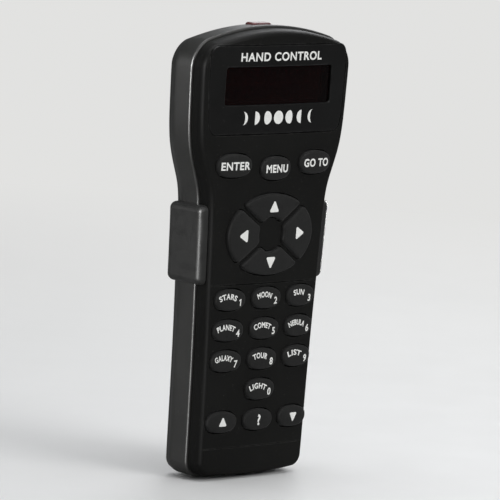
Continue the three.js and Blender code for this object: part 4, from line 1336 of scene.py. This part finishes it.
def softboxes():
    area("left_softbox", place=(-0.95, 0.25, 0.35), size=(0.5, 0.9), power=0.8,
         color=(1.0, 0.99, 0.97))
    area("front_softbox", place=(0.25, -1.0, 0.72), size=(0.6, 0.6), power=6.0,
         color=(1.0, 1.0, 1.0))
    area("top_softbox", place=(0.1, 0.0, 1.1), size=(0.9, 0.9), power=7.0,
         color=(0.98, 0.99, 1.0))
    area("right_fill", place=(0.9, 0.5, 0.5), size=(0.6, 0.8), power=3.0,
         color=(0.97, 0.98, 1.0))


def strip(name, place, width, power, only=()):
    """tall strip that only draws highlights, on the given pieces if there are any"""
    ob = area(name, place, size=(width, 1.1), power=power, color=(1.0, 1.0, 0.99))
    ob.visible_diffuse = False
    if only:
        lit = bpy.data.collections.new(name + "_lit")
        for piece in only:
            lit.objects.link(piece)
        ob.light_linking.receiver_collection = lit


def studio_world():
    """paper's tone to the camera, soft fill to matt surfaces, darker room in reflections"""
    world = bpy.data.worlds.new("studio")
    world.use_nodes = True
    tree = world.node_tree
    tree.nodes.clear()
    ray = tree.nodes.new("ShaderNodeLightPath").outputs

    def background(color, strength):
        node = tree.nodes.new("ShaderNodeBackground")
        node.inputs["Color"].default_value = (*color, 1.0)
        node.inputs["Strength"].default_value = strength
        return node.outputs[0]

    def mix(fac, a, b):
        node = tree.nodes.new("ShaderNodeMixShader")
        for i, socket in enumerate((fac, a, b)):
            tree.links.new(socket, node.inputs[i])
        return node.outputs[0]

    room = (0.9, 0.92, 0.95)
    fill = background(room, strength=0.3)
    backdrop = background(PAPER, strength=1.0)
    reflected = background(room, strength=0.1)
    surface = mix(ray["Is Camera Ray"], mix(ray["Is Glossy Ray"], fill, reflected), backdrop)
    output = tree.nodes.new("ShaderNodeOutputWorld")
    tree.links.new(surface, output.inputs["Surface"])
    bpy.context.scene.world = world


# ---------------------------------------------------------------- build
front = front_shell()
rear = rear_shell()
display_surround()
display_window()
character_cells()
caps = [key_cap(name, key) for name, key in KEYS.items()]
left_grip = grip(-1, "grip_left")
right_grip = grip(1, "grip_right")
for place, (x, z) in CASE_SCREWS.items():
    case_screw(place, x, z)
rear_label()
lamp_window()
face_legends()
key_legends()
dress_kept_pieces()

floor()
camera()
softboxes()
strip("ridge_strip", place=(-0.66, 0.64, 0.05), width=0.16, power=1.8)
strip("face_strip", place=(-0.95, -0.50, 0.1), width=0.2, power=18.0, only=(front, *caps))
strip("edge_strip", place=(-0.95, -0.50, 0.1), width=0.2, power=96.0, only=(rear, left_grip))
strip("grip_strip", place=(1.0, 0.08, 0.06), width=0.16, power=34.0, only=(right_grip,))
studio_world()
